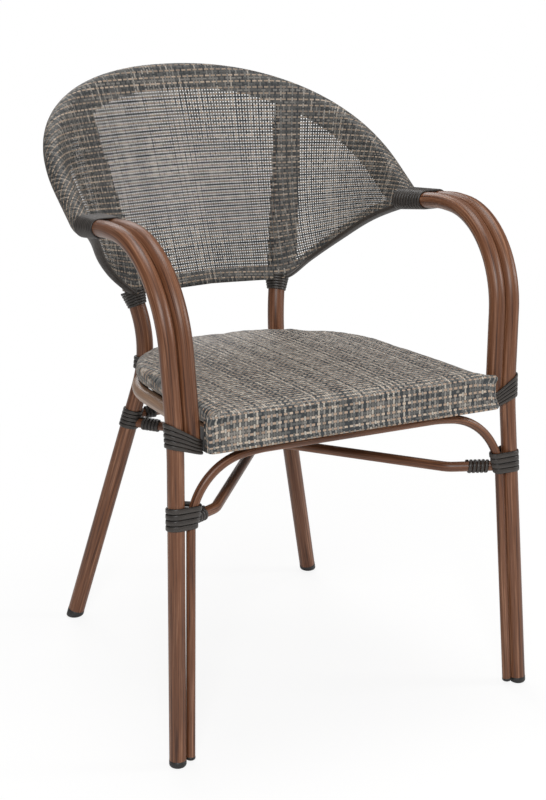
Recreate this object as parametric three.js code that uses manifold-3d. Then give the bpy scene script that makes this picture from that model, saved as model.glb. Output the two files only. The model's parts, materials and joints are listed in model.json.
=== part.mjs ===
// Bistro armchair with bent tubes, wound strip joints and a stretched fabric back
//
// Millimetres. X runs across the chair, Y from the front to the back, Z up from the floor.
// Places are first given from the middle of the chair, and the finished chair is then centred in Y.

import * as THREE from "three";
import { mergeVertices } from "three/addons/utils/BufferGeometryUtils.js";
import Module from "manifold-3d";

// Tube stock
const armTubeDiameter = 22;
const backTubeDiameter = 25;
const slimTubeDiameter = 14;
const archTubeDiameter = 12;
const railTubeDiameter = 21;

// Gaps between pieces that touch
const pieceGap = 0.3;

// Height of the front rail's centre, which the seat and the joints round it follow
const frontRailHeight = 421.5;

// Front legs that bend over into the arms
const frontFootSplay = 17.3;
const frontFootForward = 105;
const legWaistHalfSpacing = 248.2;
const legWaistForward = 76;
const legWaistBelowRail = 0.5;
const armCornerOutside = 11.1;
const armCornerForward = 63;
const armCornerAboveRail = 237;
const armRestOutside = 3.5;
const armRestBack = 86;
const armRestRise = 4;
const legWaistBendRadius = 700;
const armBendRadius = 135;
const armRestBendRadius = 160;

// Inner arm tubes, side by side with the outer ones
const innerArmRunningGap = 0.8;
const innerArmInWrap = 3;

// Back hoop, an upright half ellipse that leans back from the ends of the arms
const hoopCornerInside = 5.8;
const hoopCornerBack = 195;
const hoopCornerBelowRest = 12;
const hoopCornerBendRadius = 30;
const hoopLean = 31.1;
const hoopBow = 4.2;
const hoopStraightRun = 66;
const hoopRise = 262;
const hoopFullness = 2.16;

// Back legs that bend over into the back posts
const backFootHalfSpacing = 208;
const backFootBack = 407;
const backKneeHalfSpacing = 103.5;
const backKneeBack = 329;
const backKneeAboveRail = 11.5;
const backKneeBendRadius = 190;
const postTopHalfSpacing = 172;

// Front arch
const archFootInside = 19;
const archFootBehindLeg = 0.5;
const archCornerInside = 18.7;
const archCornerAheadOfWaist = 5.2;
const archCornerBelowCrown = 11.2;
const archCrownInside = 95.5;
const archCrownBelowRail = 21.3;
const archBendRadius = 90;
const archCrownBendRadius = 200;

// Crossed stretchers and the rear crossbar
const stretcherBendHalfSpacing = 178;
const stretcherBendForward = 42;
const stretcherBelowRail = 106;
const stretcherFrontRise = 3;
const stretcherRearRise = 4.5;
const stretcherBendRadius = 40;
const crossbarAboveStretcher = 12;

// Seat, drawn level and then tilted about the front rail
const seatTilt = 1.3;
const seatTop = 35.2;
const seatFaceHeight = 50.7;
const seatFaceForward = 106;
const seatFaceBeyondPlate = 7.2;
const seatFaceRounding = 5;
const faceLeavesRailAngle = 225;
const seatBackTaper = 19.2;
const seatBackEdge = 321;
const seatBackRounding = 178;
const cushionDrawIn = 12;
const cushionDrawHeight = 5;
const cushionEdgeRounding = 4.5;
const cushionCrown = 3.5;
const cushionFrontEdge = 87.4;
const railBeyondCushion = 2;
const frontRailForward = 92;
const frontRailEndInset = 15;
const baseBoardThickness = 4.5;
const baseBoardSink = 4;

// Stubs and plates that hold the seat
const sidePlateThickness = 2;
const sidePlateHeight = 30;
const sidePlateLength = 20;
const rearStubDiameter = 14.5;

// Fabric back
const sleeveWall = 1.9;
const postClearOfSleeve = 3;
const panelFrontGap = 0.8;
const sleeveStartAfterWrap = 1;
const postSleeveTopShare = 0.1;
const sleeveAboveEdge = 10;
const sleeveFrontAngle = 112;
const sleeveRearAngle = 52;
const wingUpperInside = 3;
const wingUpperDrop = 14;
const wingShoulderInside = 29;
const wingShoulderBack = 243;
const wingShoulderDrop = 39;
const wingMiddleInside = 57;
const wingMiddleBack = 291;
const wingMiddleDrop = 75.5;
const wingLowerInside = 89;
const wingLowerBack = 325;
const wingLowerDrop = 109.5;
const wingFootInside = 119;
const wingFootBack = 337;
const wingFootDrop = 133.5;
const lowerEdgeDrop = 138.5;
const lowerEdgeMiddleRise = 4.5;
const bindingWidth = 8;
const bindingDepthAtArm = 10;
const bindingDepthAtPost = 5;
const bindingEdgeInset = 3;

// Wound strips
const stripThickness = 2.4;
const fineStripThickness = 1.3;
const leastTurnGap = 0.4;
const armWrapTurns = 13;
const armWrapPitch = 5;
const armWrapFrontBack = 119;
const jointWrapPitch = 7.4;
const stripGap = 0.9;
const lowerWrapTurns = 4;
const lowerWrapBelowStretcher = 6.5;
const seatWrapTurns = 5;
const seatWrapPitch = 6.9;
const seatWrapBelowRail = 10.5;
const seatWrapLowSlantShare = 0.21;
const seatWrapHighSlantShare = 0.4;
const backLegWrapTurns = 5;
const backLegWrapPitch = 5.8;
const backLegWrapBelowStretcher = 9;
const ribPitch = 5.6;
const stretcherFrontWrapTurns = 6;
const stretcherWrapReach = 31;
const stretcherRearWrapTurns = 5;
const crossbarWrapTurns = 3;
const postFootWrapTurns = 3;
const postFootWrapSpread = 6;
const postFootWrapPitch = 4;
const postFootWrapBelowEdge = 16.5;
const seatTieWrapTurns = 3;
const seatTieWrapPitch = 6.2;
const seatTieWrapBelowRail = 19.5;
const tieWrapSlack = 0.7;
const archWrapSlack = 0.4;

// Foot caps
const capWall = 1.4;
const capHeight = 9;
const capNeighbourRoom = 0.2;

// Screws under the base board
const screwHeadDiameter = 9;
const screwHeadHeight = 2.6;
const screwInsetFromRail = 9;

// Share of a straight run that its bends may take
const bendRoomShare = 0.96;

// How finely the curves are stepped
const tubeSides = 12;
const slimTubeSides = 10;
const sleeveSides = 10;
const capSides = 16;
const roundTurnSteps = 10;
const slimTurnSteps = 8;
const longTurnSteps = 12;
const armTurnSteps = 14;
const armBendSteps = [1, 9, 2];
const archBendSteps = [8, 2];
const hoopBendSteps = 3;
const hoopArcSteps = 11;
const backKneeSteps = 5;
const stretcherBendSteps = 3;
const railBendSteps = 6;
const cushionBendSteps = 7;
const faceArcSteps = 8;
const faceRoundingSteps = 3;
const postSleeveSteps = 8;
const stubSearchSteps = 24;
const bindingSkippedSteps = 2;

// Shapes of small sections, as shares of their sizes
const stripCrownShare = 0.5;
const cushionEdgeShare = 0.3;
const cushionCrownShares = [0.3, 0.6, 0.9];
const rearScrewShare = 0.53;
const panelFrontRootShare = 0.2;
const panelRearRootShare = 0.75;
const bindingShares = [
  [0, 0],
  [1, 0],
  [1, 0.6],
  [0.75, 1],
  [0.25, 1],
  [0, 0.6],
];

// Parts of a turn and other plain numbers
const HALF = 1 / 2;
const QUARTER_TURN = Math.PI / 2;
const FULL_TURN = 2 * Math.PI;
const POINT_VALUES = 3;
const FACE_VALUES = 3 * POINT_VALUES;

// Colours and finishes
const woodGrainTube = { color: "#8a5f47", roughness: 0.38, metalness: 0.05 };
const paleTube = { color: "#9c8270", roughness: 0.45, metalness: 0.05 };
const darkStrip = { color: "#423c38", roughness: 0.55, metalness: 0 };
const darkCap = { color: "#333231", roughness: 0.5, metalness: 0 };
const weave = { color: "#857f78", roughness: 0.85, metalness: 0 };
const board = { color: "#3a3836", roughness: 0.8, metalness: 0 };
const steel = { color: "#8d8f91", roughness: 0.35, metalness: 1 };

const wasm = await Module();
wasm.setup();

const point = (x, y, z) => new THREE.Vector3(x, y, z);
const radians = (degrees) => THREE.MathUtils.degToRad(degrees);
const mirrored = (p) => point(-p.x, p.y, p.z);
const between = (a, b, share) => a.clone().lerp(b, share);

// A centreline given by its stations, which the extruder takes as they are.
class StationPath extends THREE.Curve {
  constructor(stations) {
    super();
    this.stations = stations;
  }
  getPoint(t) {
    const last = this.stations.length - 1;
    const place = t * last;
    const before = Math.min(Math.floor(place), last - 1);
    return between(this.stations[before], this.stations[before + 1], place - before);
  }
  getPointAt(t) {
    return this.getPoint(t);
  }
  getTangentAt(t) {
    const last = this.stations.length - 1;
    return tangentAt(this.stations, Math.round(t * last));
  }
}

function tangentAt(stations, index) {
  const last = stations.length - 1;
  if (index === 0) return stations[1].clone().sub(stations[0]).normalize();
  if (index === last) return stations[last].clone().sub(stations[last - 1]).normalize();
  const before = stations[index].clone().sub(stations[index - 1]).normalize();
  const after = stations[index + 1].clone().sub(stations[index]).normalize();
  return before.add(after).normalize();
}

// How far each bend reaches along the straight runs beside its corner.
function bendReaches(corners, radii) {
  const runs = corners.slice(1).map((corner, i) => corner.clone().sub(corners[i]));
  const wanted = radii.map((radius, i) => radius * Math.tan(runs[i].angleTo(runs[i + 1]) * HALF));
  const roomShares = runs.map((run, i) => {
    const asked = (wanted[i - 1] ?? 0) + (wanted[i] ?? 0);
    return Math.min(1, (bendRoomShare * run.length()) / asked);
  });
  return wanted.map((reach, i) => reach * Math.min(roomShares[i], roomShares[i + 1]));
}

// Stations along straight runs through the corners, each corner rounded to its bend radius.
function bentStations(corners, radii, stepsPerBend) {
  const stations = [corners[0].clone()];
  bendReaches(corners, radii).forEach((reach, bend) => {
    const corner = corners[bend + 1];
    const toward = corner.clone().sub(corners[bend]).normalize();
    const away = corners[bend + 2].clone().sub(corner).normalize();
    const turn = toward.angleTo(away);
    const radius = reach / Math.tan(turn * HALF);
    const start = corner.clone().addScaledVector(toward, -reach);
    const inward = away.addScaledVector(toward, -away.dot(toward)).normalize();
    const centre = start.addScaledVector(inward, radius);
    for (let k = 0; k <= stepsPerBend[bend]; k++) {
      const angle = (turn * k) / stepsPerBend[bend];
      const onArc = centre.clone().addScaledVector(inward, -radius * Math.cos(angle));
      stations.push(onArc.addScaledVector(toward, radius * Math.sin(angle)));
    }
  });
  stations.push(corners[corners.length - 1].clone());
  return stations;
}

// Stations of a whole line from those of its left half, the last of which lies on the middle plane.
function bothHalves(half) {
  const other = half.slice(0, -1).reverse().map(mirrored);
  return [...half, ...other];
}

function material(finish) {
  return new THREE.MeshStandardMaterial(finish);
}

function named(name, geometry, finish) {
  const mesh = new THREE.Mesh(geometry, material(finish));
  mesh.name = name;
  return mesh;
}

function circleOutline(radius, sides) {
  const outline = [];
  for (let i = 0; i < sides; i++) {
    const angle = (FULL_TURN * i) / sides;
    outline.push(new THREE.Vector2(radius * Math.cos(angle), radius * Math.sin(angle)));
  }
  return outline;
}

function tubeGeometry(stations, diameter, sides) {
  const shape = new THREE.Shape(circleOutline(diameter * HALF, sides));
  return new THREE.ExtrudeGeometry(shape, {
    steps: stations.length - 1,
    bevelEnabled: false,
    extrudePath: new StationPath(stations),
  });
}

// A closed solid from rings of points with the same count, its ends closed by fans.
function ringsGeometry(rings) {
  const count = rings[0].length;
  const points = rings.flat();
  const faces = [];
  for (let r = 0; r < rings.length - 1; r++) {
    for (let i = 0; i < count; i++) {
      const next = (i + 1) % count;
      const a = r * count + i;
      const b = r * count + next;
      faces.push(a, b, b + count, a, b + count, a + count);
    }
  }
  const lastRing = (rings.length - 1) * count;
  for (let i = 1; i < count - 1; i++) {
    faces.push(0, i + 1, i);
    faces.push(lastRing, lastRing + i, lastRing + i + 1);
  }
  return facesGeometry(points, faces);
}

function facesGeometry(points, faces) {
  const geometry = new THREE.BufferGeometry().setFromPoints(points);
  geometry.setIndex(faces);
  geometry.computeVertexNormals();
  return geometry;
}

function solidFrom(geometry) {
  const bare = geometry.clone();
  bare.deleteAttribute("normal");
  bare.deleteAttribute("uv");
  const merged = mergeVertices(bare);
  const vertProperties = merged.attributes.position.array;
  const triVerts = new Uint32Array(merged.index.array);
  return new wasm.Manifold(new wasm.Mesh({ numProp: 3, vertProperties, triVerts }));
}

function geometryFrom(solid) {
  const cut = solid.getMesh();
  const geometry = new THREE.BufferGeometry();
  geometry.setAttribute("position", new THREE.BufferAttribute(cut.vertProperties, 3));
  geometry.setIndex(new THREE.BufferAttribute(cut.triVerts, 1));
  geometry.computeVertexNormals();
  return geometry;
}

function cutAway(geometry, ...tools) {
  return geometryFrom(tools.reduce((solid, tool) => solid.subtract(solidFrom(tool)), solidFrom(geometry)));
}

// Vertex radius that keeps the flats of a ring of straight steps clear of a tube.
function ringRadius(tubeRadius, stepAngle) {
  return (tubeRadius + pieceGap) / Math.cos(stepAngle * HALF);
}

// One lap round one tube, or round two tubes side by side: places and outward directions.
function lapOutline(firstRadius, secondRadius, spacing, steps) {
  const lap = [];
  if (spacing === 0) {
    const radius = ringRadius(firstRadius, FULL_TURN / steps);
    for (let i = 0; i < steps; i++) {
      const angle = (FULL_TURN * i) / steps;
      const outward = new THREE.Vector2(Math.cos(angle), Math.sin(angle));
      lap.push({ place: outward.clone().multiplyScalar(radius), outward });
    }
    return lap;
  }
  const lean = Math.acos((firstRadius - secondRadius) / spacing);
  const halfSteps = steps * HALF;
  const rounds = [
    { from: lean, sweep: FULL_TURN - 2 * lean, centre: 0, tubeRadius: firstRadius },
    { from: -lean, sweep: 2 * lean, centre: spacing, tubeRadius: secondRadius },
  ];
  for (const { from, sweep, centre, tubeRadius } of rounds) {
    const radius = ringRadius(tubeRadius, sweep / (halfSteps - 1));
    for (let i = 0; i < halfSteps; i++) {
      const angle = from + (sweep * i) / (halfSteps - 1);
      const outward = new THREE.Vector2(Math.cos(angle), Math.sin(angle));
      const place = outward.clone().multiplyScalar(radius);
      place.x += centre;
      lap.push({ place, outward });
    }
  }
  return lap;
}

// A flat strip wound along a straight axis, as one unbroken tube with straight ends.
function woundStrip(name, options) {
  const { start, axis, across, firstRadius, turns, pitch } = options;
  const { secondRadius = 0, spacing = 0, spacingGrowth = 0, steps } = options;
  const { slant = 0, slantGrowth = 0, spread = 0, thickness = stripThickness } = options;
  const along = axis.clone().normalize();
  const side = across.clone().addScaledVector(along, -across.dot(along)).normalize();
  const third = along.clone().cross(side);
  const rings = [];
  const ringAt = (index) => {
    const share = index / (turns * steps);
    const lap = lapOutline(firstRadius, secondRadius, spacing + spacingGrowth * share, steps);
    const { place, outward } = lap[index % steps];
    const wider = spread * share;
    const width = pitch + (slantGrowth * place.x) / turns - stripGap;
    const rise = pitch * (HALF + index / steps) + (slant + slantGrowth * share) * place.x;
    const out = side.clone().multiplyScalar(outward.x).addScaledVector(third, outward.y);
    const base = start.clone().addScaledVector(along, rise);
    base.addScaledVector(side, place.x).addScaledVector(third, place.y).addScaledVector(out, wider);
    return stripRing(base, along, out, width, thickness);
  };
  for (let i = 0; i <= turns * steps; i++) rings.push(ringAt(i));
  rings.unshift(straightEnd(rings[0], rings[1], thickness));
  rings.push(straightEnd(rings[rings.length - 1], rings[rings.length - 2], thickness));
  reportLeastGap(name, rings, steps);
  return named(name, ringsGeometry(rings), darkStrip);
}

// The solid that a wound strip fills, with a gap round it, to cope the tubes that meet it.
function woundRoom(options) {
  const { start, axis, across, firstRadius, turns, pitch } = options;
  const { secondRadius = 0, spacing = 0, spacingGrowth = 0, steps } = options;
  const along = axis.clone().normalize();
  const side = across.clone().addScaledVector(along, -across.dot(along)).normalize();
  const third = along.clone().cross(side);
  const ringAt = (share) =>
    lapOutline(firstRadius, secondRadius, spacing + spacingGrowth * share, steps).map((lapPoint) => {
      const out = lapPoint.place.clone().addScaledVector(lapPoint.outward, stripThickness + pieceGap);
      const level = start.clone().addScaledVector(along, turns * pitch * share);
      return level.addScaledVector(side, out.x).addScaledVector(third, out.y);
    });
  const rings = [];
  for (let turn = -1; turn <= turns + 2; turn++) rings.push(ringAt(turn / turns));
  return ringsGeometry(rings);
}

// Four points of the strip's cross-section: a wide back and a narrower crown.
function stripRing(base, along, out, width, thickness) {
  const crown = base.clone().addScaledVector(out, thickness);
  return [
    base.clone().addScaledVector(along, width * HALF),
    crown.clone().addScaledVector(along, width * HALF * stripCrownShare),
    crown.clone().addScaledVector(along, -width * HALF * stripCrownShare),
    base.clone().addScaledVector(along, -width * HALF),
  ];
}

// The end of a strip runs on straight for one strip thickness.
function straightEnd(ring, neighbour, thickness) {
  const direction = ring[0].clone().sub(neighbour[0]).normalize();
  return ring.map((corner) => corner.clone().addScaledVector(direction, thickness));
}

function reportLeastGap(name, rings, steps) {
  let least = Infinity;
  for (let i = 0; i < rings.length; i++) {
    for (let j = i + Math.floor(steps * HALF); j < rings.length; j++) {
      for (const a of rings[i]) {
        for (const b of rings[j]) least = Math.min(least, a.distanceTo(b));
      }
    }
  }
  const verdict = least > leastTurnGap ? "clear" : "TOO CLOSE";
  console.log(name + ": least gap between turns " + least.toFixed(2) + " mm, " + verdict);
}

const frontRailCentre = point(0, -frontRailForward, frontRailHeight);

// Widths that follow the waists of the front legs
const frontFootHalfSpacing = legWaistHalfSpacing + frontFootSplay;
const armCornerHalfSpacing = legWaistHalfSpacing + armCornerOutside;
const armRestHalfSpacing = armCornerHalfSpacing + armRestOutside;
const hoopCornerHalfSpacing = armRestHalfSpacing - hoopCornerInside;
const archFootHalfSpacing = frontFootHalfSpacing - archFootInside;
const archCornerHalfSpacing = legWaistHalfSpacing - archCornerInside;
const archCrownHalfSpacing = archCornerHalfSpacing - archCrownInside;
const archFootForward = frontFootForward - archFootBehindLeg;
const archCornerForward = legWaistForward + archCornerAheadOfWaist;

// Heights that follow the front rail
const legWaistHeight = frontRailHeight - legWaistBelowRail;
const armCornerHeight = frontRailHeight + armCornerAboveRail;
const armRestHeight = armCornerHeight + armRestRise;
const hoopCornerHeight = armRestHeight - hoopCornerBelowRest;
const archCrownHeight = frontRailHeight - archCrownBelowRail;
const archCornerHeight = archCrownHeight - archCornerBelowCrown;
const stretcherHeight = frontRailHeight - stretcherBelowRail;
const stretcherRearHeight = stretcherHeight + stretcherRearRise;
const crossbarHeight = stretcherRearHeight + crossbarAboveStretcher;
const lowerWrapHeight = stretcherHeight - lowerWrapBelowStretcher;
const backLegWrapHeight = stretcherRearHeight - backLegWrapBelowStretcher;
const seatWrapHeight = frontRailHeight - seatWrapBelowRail;
const seatTieWrapHeight = frontRailHeight - seatTieWrapBelowRail;
const backKneeHeight = frontRailHeight + backKneeAboveRail;

// Centrelines of the left half, where X is negative

const frontFoot = point(-frontFootHalfSpacing, -frontFootForward, 0);
const legWaist = point(-legWaistHalfSpacing, -legWaistForward, legWaistHeight);
const armCorner = point(-armCornerHalfSpacing, -armCornerForward, armCornerHeight);
const armRest = point(-armRestHalfSpacing, armRestBack, armRestHeight);
const hoopCorner = point(-hoopCornerHalfSpacing, hoopCornerBack, hoopCornerHeight);
const innerArmSpacing = armTubeDiameter + innerArmRunningGap;

const armBendRadii = [legWaistBendRadius, armBendRadius, armRestBendRadius];

// The place on a line between two corners at a given height.
function atHeight(low, high, height) {
  return between(low, high, (height - low.z) / (high.z - low.z));
}

function atDepth(front, back, depth) {
  return between(front, back, (depth - front.y) / (back.y - front.y));
}

const armWrapStart = atDepth(armRest, hoopCorner, armWrapFrontBack);
const armWrapAxis = hoopCorner.clone().sub(armRest).normalize();
const armWrapLength = armWrapTurns * armWrapPitch;
const armWrapEnd = armWrapStart.clone().addScaledVector(armWrapAxis, armWrapLength);
const armJoint = between(armWrapStart, armWrapEnd, HALF);

function outerArmStations() {
  const corners = [frontFootTop(), legWaist, armCorner, armRest, armJoint];
  return bentStations(corners, armBendRadii, armBendSteps);
}

// Tubes start above the floor by the thickness of their foot caps.
const capFloor = capWall + pieceGap;

function frontFootTop() {
  return atHeight(frontFoot, legWaist, capFloor + footTipLift(armTubeDiameter, frontFoot, legWaist));
}

// How far the low edge of a raked tube end hangs under its centre.
function footTipLift(diameter, foot, above) {
  const rake = above.clone().sub(foot).angleTo(point(0, 0, 1));
  return diameter * HALF * Math.sin(rake);
}

// The inner tube follows the outer one from inside the seat strips to inside the arm strips.
function innerArmStations() {
  const lowHeight = seatWrapHeight - seatWrapLowSlantShare * innerArmSpacing + innerArmInWrap;
  const end = armWrapEnd.clone().addScaledVector(armWrapAxis, -armWrapPitch);
  const line = outerArmStations().slice(0, -1);
  const kept = line.filter((p) => p.z > lowHeight);
  const stations = [alongTube(line, lowHeight).place, ...kept, end];
  return stations.map((p) => p.clone().add(point(innerArmSpacing, 0, 0)));
}

// The place on the leaning face of the hoop, which bows out a little between its corners and its crown.
function onHoopFace(across, up) {
  const share = up / (hoopStraightRun + hoopRise);
  const bow = hoopBow * Math.sin(Math.PI * share);
  const face = point(across, up, bow).applyAxisAngle(point(1, 0, 0), radians(hoopLean));
  return face.add(point(0, hoopCorner.y, hoopCorner.z));
}

function hoopHalfStations() {
  const start = armJoint.clone().addScaledVector(armWrapAxis, pieceGap);
  const straightEndPlace = onHoopFace(-hoopCornerHalfSpacing, hoopStraightRun);
  const corners = [start, hoopCorner, straightEndPlace];
  return [...bentStations(corners, [hoopCornerBendRadius], [hoopBendSteps]), ...hoopArcStations()];
}

// The left half of the arc, from beyond the straight run to the middle of the crown.
function hoopArcStations() {
  const stations = [];
  for (let i = 1; i <= hoopArcSteps; i++) {
    const angle = (QUARTER_TURN * i) / hoopArcSteps;
    const across = -hoopCornerHalfSpacing * Math.abs(Math.cos(angle)) ** (2 / hoopFullness);
    stations.push(hoopAt(i === hoopArcSteps ? 0 : across));
  }
  return stations;
}

// The place on the hoop's arc at a given distance from the middle plane.
function hoopAt(across) {
  const share = Math.abs(across) / hoopCornerHalfSpacing;
  const up = hoopRise * (1 - share ** hoopFullness) ** (1 / hoopFullness);
  return onHoopFace(across, hoopStraightRun + up);
}

const backFoot = point(-backFootHalfSpacing, backFootBack, 0);
const backKnee = point(-backKneeHalfSpacing, backKneeBack, backKneeHeight);
const postTop = hoopAt(-postTopHalfSpacing);
const postAxis = postTop.clone().sub(backKnee).normalize();
const backLegAxis = backKnee.clone().sub(backFoot).normalize();

function backLegStations() {
  const low = atHeight(backFoot, backKnee, capFloor + footTipLift(backTubeDiameter, backFoot, backKnee));
  return bentStations([low, backKnee, postTop], [backKneeBendRadius], [backKneeSteps]);
}

// The place on a bent tube's centreline at a given height, and its direction there.
function alongTube(stations, height) {
  const above = stations.findIndex((p) => p.z > height);
  return {
    place: atHeight(stations[above - 1], stations[above], height),
    direction: stations[above].clone().sub(stations[above - 1]).normalize(),
  };
}

// Frame tubes

function frontLegArm(name) {
  return named(name, tubeGeometry(outerArmStations(), armTubeDiameter, tubeSides), woodGrainTube);
}

function innerArm(name) {
  return named(name, tubeGeometry(innerArmStations(), armTubeDiameter, tubeSides), woodGrainTube);
}

function backHoop() {
  const geometry = tubeGeometry(bothHalves(hoopHalfStations()), armTubeDiameter, tubeSides);
  return named("back_hoop", geometry, woodGrainTube);
}

function backLegPost(name) {
  const tube = tubeGeometry(backLegStations(), backTubeDiameter, tubeSides);
  const around = armTubeDiameter + 2 * (sleeveWall + postClearOfSleeve);
  const clearance = tubeGeometry(hoopArcStations(), around, tubeSides);
  return named(name, cutAway(tube, clearance), woodGrainTube);
}

// Front arch

const archFoot = point(-archFootHalfSpacing, -archFootForward, 0);
const archCorner = point(-archCornerHalfSpacing, -archCornerForward, archCornerHeight);

function archCrownPlace(across) {
  return point(across, -archCornerForward, archCrownHeight);
}

function archHalfStations() {
  const lift = capFloor + footTipLift(archTubeDiameter, archFoot, archCorner);
  const low = atHeight(archFoot, archCorner, lift);
  const corners = [low, archCorner, archCrownPlace(-archCrownHalfSpacing), archCrownPlace(0)];
  return bentStations(corners, [archBendRadius, archCrownBendRadius], archBendSteps);
}

function frontArch() {
  const stations = bothHalves(archHalfStations());
  return named("front_arch", tubeGeometry(stations, archTubeDiameter, slimTubeSides), woodGrainTube);
}

// Strips that other tubes are coped to

const armRadius = armTubeDiameter * HALF;
const slimRadius = slimTubeDiameter * HALF;
const archRadius = archTubeDiameter * HALF;
const backRadius = backTubeDiameter * HALF;
const inwards = point(1, 0, 0);
const backwards = point(0, 1, 0);

const lowerWrapTop = lowerWrapHeight + (lowerWrapTurns + 1) * jointWrapPitch;

// The way from the leg to the arch beside it, at a given height.
function legToArch(height) {
  const arch = alongTube(archHalfStations(), height).place;
  return arch.sub(atHeight(frontFoot, legWaist, height));
}

const lowerWrapPlan = {
  start: atHeight(frontFoot, legWaist, lowerWrapHeight),
  axis: legWaist.clone().sub(frontFoot),
  across: legToArch(lowerWrapHeight),
  firstRadius: armRadius,
  secondRadius: archRadius + archWrapSlack,
  spacing: legToArch(lowerWrapHeight).length(),
  spacingGrowth: legToArch(lowerWrapTop).length() - legToArch(lowerWrapHeight).length(),
  turns: lowerWrapTurns,
  pitch: jointWrapPitch,
  steps: longTurnSteps,
};

const backLegWrapPlan = {
  start: atHeight(backFoot, backKnee, backLegWrapHeight),
  axis: backLegAxis,
  across: backwards,
  firstRadius: backRadius,
  turns: backLegWrapTurns,
  pitch: backLegWrapPitch,
  steps: roundTurnSteps,
};

// Crossed stretchers

const stretcherBend = point(-stretcherBendHalfSpacing, -stretcherBendForward, stretcherHeight);

// Outer radius of a strip wound round a tube.
function woundRadius(tubeDiameter, steps) {
  return ringRadius(tubeDiameter * HALF, FULL_TURN / steps) + stripThickness;
}

// The stretcher runs to the middles of the legs, and is then coped to the strips round them.
function stretcherFrontEnd() {
  return atHeight(frontFoot, legWaist, stretcherHeight + stretcherFrontRise);
}

function stretcherRearEnd() {
  return mirrored(atHeight(backFoot, backKnee, stretcherRearHeight));
}

function stretcherStations() {
  const corners = [stretcherFrontEnd(), stretcherBend, stretcherRearEnd()];
  return bentStations(corners, [stretcherBendRadius], [stretcherBendSteps]);
}

function throughStretcher() {
  const tube = tubeGeometry(stretcherStations(), slimTubeDiameter, slimTubeSides);
  const rooms = [woundRoom(lowerWrapPlan), mirroredGeometry(woundRoom(backLegWrapPlan))];
  return named("cross_stretcher_through", largestPart(cutAway(tube, ...rooms)), woodGrainTube);
}

// The second stretcher is two halves, coped to the through tube.
function stretcherHalves() {
  const stations = stretcherStations().map(mirrored);
  const crossing = between(stretcherBend, stretcherRearEnd(), crossingShare());
  const clearance = tubeGeometry(stretcherStations(), slimTubeDiameter + 2 * pieceGap, slimTubeSides);
  const frontTube = tubeGeometry([...stations.slice(0, -1), crossing], slimTubeDiameter, slimTubeSides);
  const rearTube = tubeGeometry([crossing, stations[stations.length - 1]], slimTubeDiameter, slimTubeSides);
  const front = largestPart(cutAway(frontTube, clearance, mirroredGeometry(woundRoom(lowerWrapPlan))));
  const rear = largestPart(cutAway(rearTube, clearance, woundRoom(backLegWrapPlan)));
  return [
    named("cross_stretcher_half_front", front, woodGrainTube),
    named("cross_stretcher_half_rear", rear, woodGrainTube),
  ];
}

function crossingShare() {
  const end = stretcherRearEnd();
  return -stretcherBend.x / (end.x - stretcherBend.x);
}

// Keeps the main body of a cut tube, without the slivers past the cut.
function largestPart(geometry) {
  const bodies = solidFrom(geometry).decompose();
  bodies.sort((a, b) => b.volume() - a.volume());
  return geometryFrom(bodies[0]);
}

function rearCrossbar() {
  const end = atHeight(backFoot, backKnee, crossbarHeight);
  const tube = tubeGeometry([end, mirrored(end)], slimTubeDiameter, slimTubeSides);
  const room = woundRoom(backLegWrapPlan);
  const geometry = largestPart(cutAway(tube, room, mirroredGeometry(room)));
  return named("rear_crossbar", geometry, woodGrainTube);
}

// Seat: built level, with Y from the front rail's middle and Z from its centreline

// The seat fills the width between the strips on the inner tubes, less a plate on each side.
const legBesideSeat = atHeight(frontFoot, legWaist, frontRailHeight).sub(frontRailCentre);
const seatWrapHalfLapSteps = longTurnSteps * HALF - 1;
const stripFace = -legBesideSeat.x - innerArmSpacing - ringRadius(armRadius, Math.PI / seatWrapHalfLapSteps);
const plateOuterFace = stripFace - stripThickness - pieceGap;
const seatFaceHalfWidth = plateOuterFace + seatFaceBeyondPlate;
const seatSideHalfWidth = plateOuterFace - sidePlateThickness - 2 * pieceGap - railBeyondCushion;
const seatBackHalfWidth = seatSideHalfWidth - seatBackTaper;
const frontRailHalfLength = seatFaceHalfWidth - frontRailEndInset;
const railRadius = railTubeDiameter * HALF;
const cushionBack = seatBackEdge + frontRailForward;
const cushionFront = frontRailForward - cushionFrontEdge;

// Half of the seat's plan, from the front corner to the middle of the back, moved in by an inset.
function seatPlanHalf(inset, frontY, bendSteps) {
  const corners = [
    point(-(seatSideHalfWidth - inset), frontY, 0),
    point(-(seatBackHalfWidth - inset), cushionBack - inset, 0),
    point(0, cushionBack - inset, 0),
  ];
  return bentStations(corners, [seatBackRounding - inset], [bendSteps]);
}

function seatPlan(inset, frontY, bendSteps) {
  return bothHalves(seatPlanHalf(inset, frontY, bendSteps));
}

const railInset = railRadius - railBeyondCushion;

function seatRail() {
  const frontY = railRadius + 3 * pieceGap;
  const stations = seatPlan(railInset, frontY, railBendSteps);
  return named("seat_rail", tubeGeometry(stations, railTubeDiameter, tubeSides), paleTube);
}

function seatFrontRail() {
  const stations = [point(-frontRailHalfLength, 0, 0), point(frontRailHalfLength, 0, 0)];
  return named("seat_front_rail", tubeGeometry(stations, railTubeDiameter, tubeSides), paleTube);
}

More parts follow.
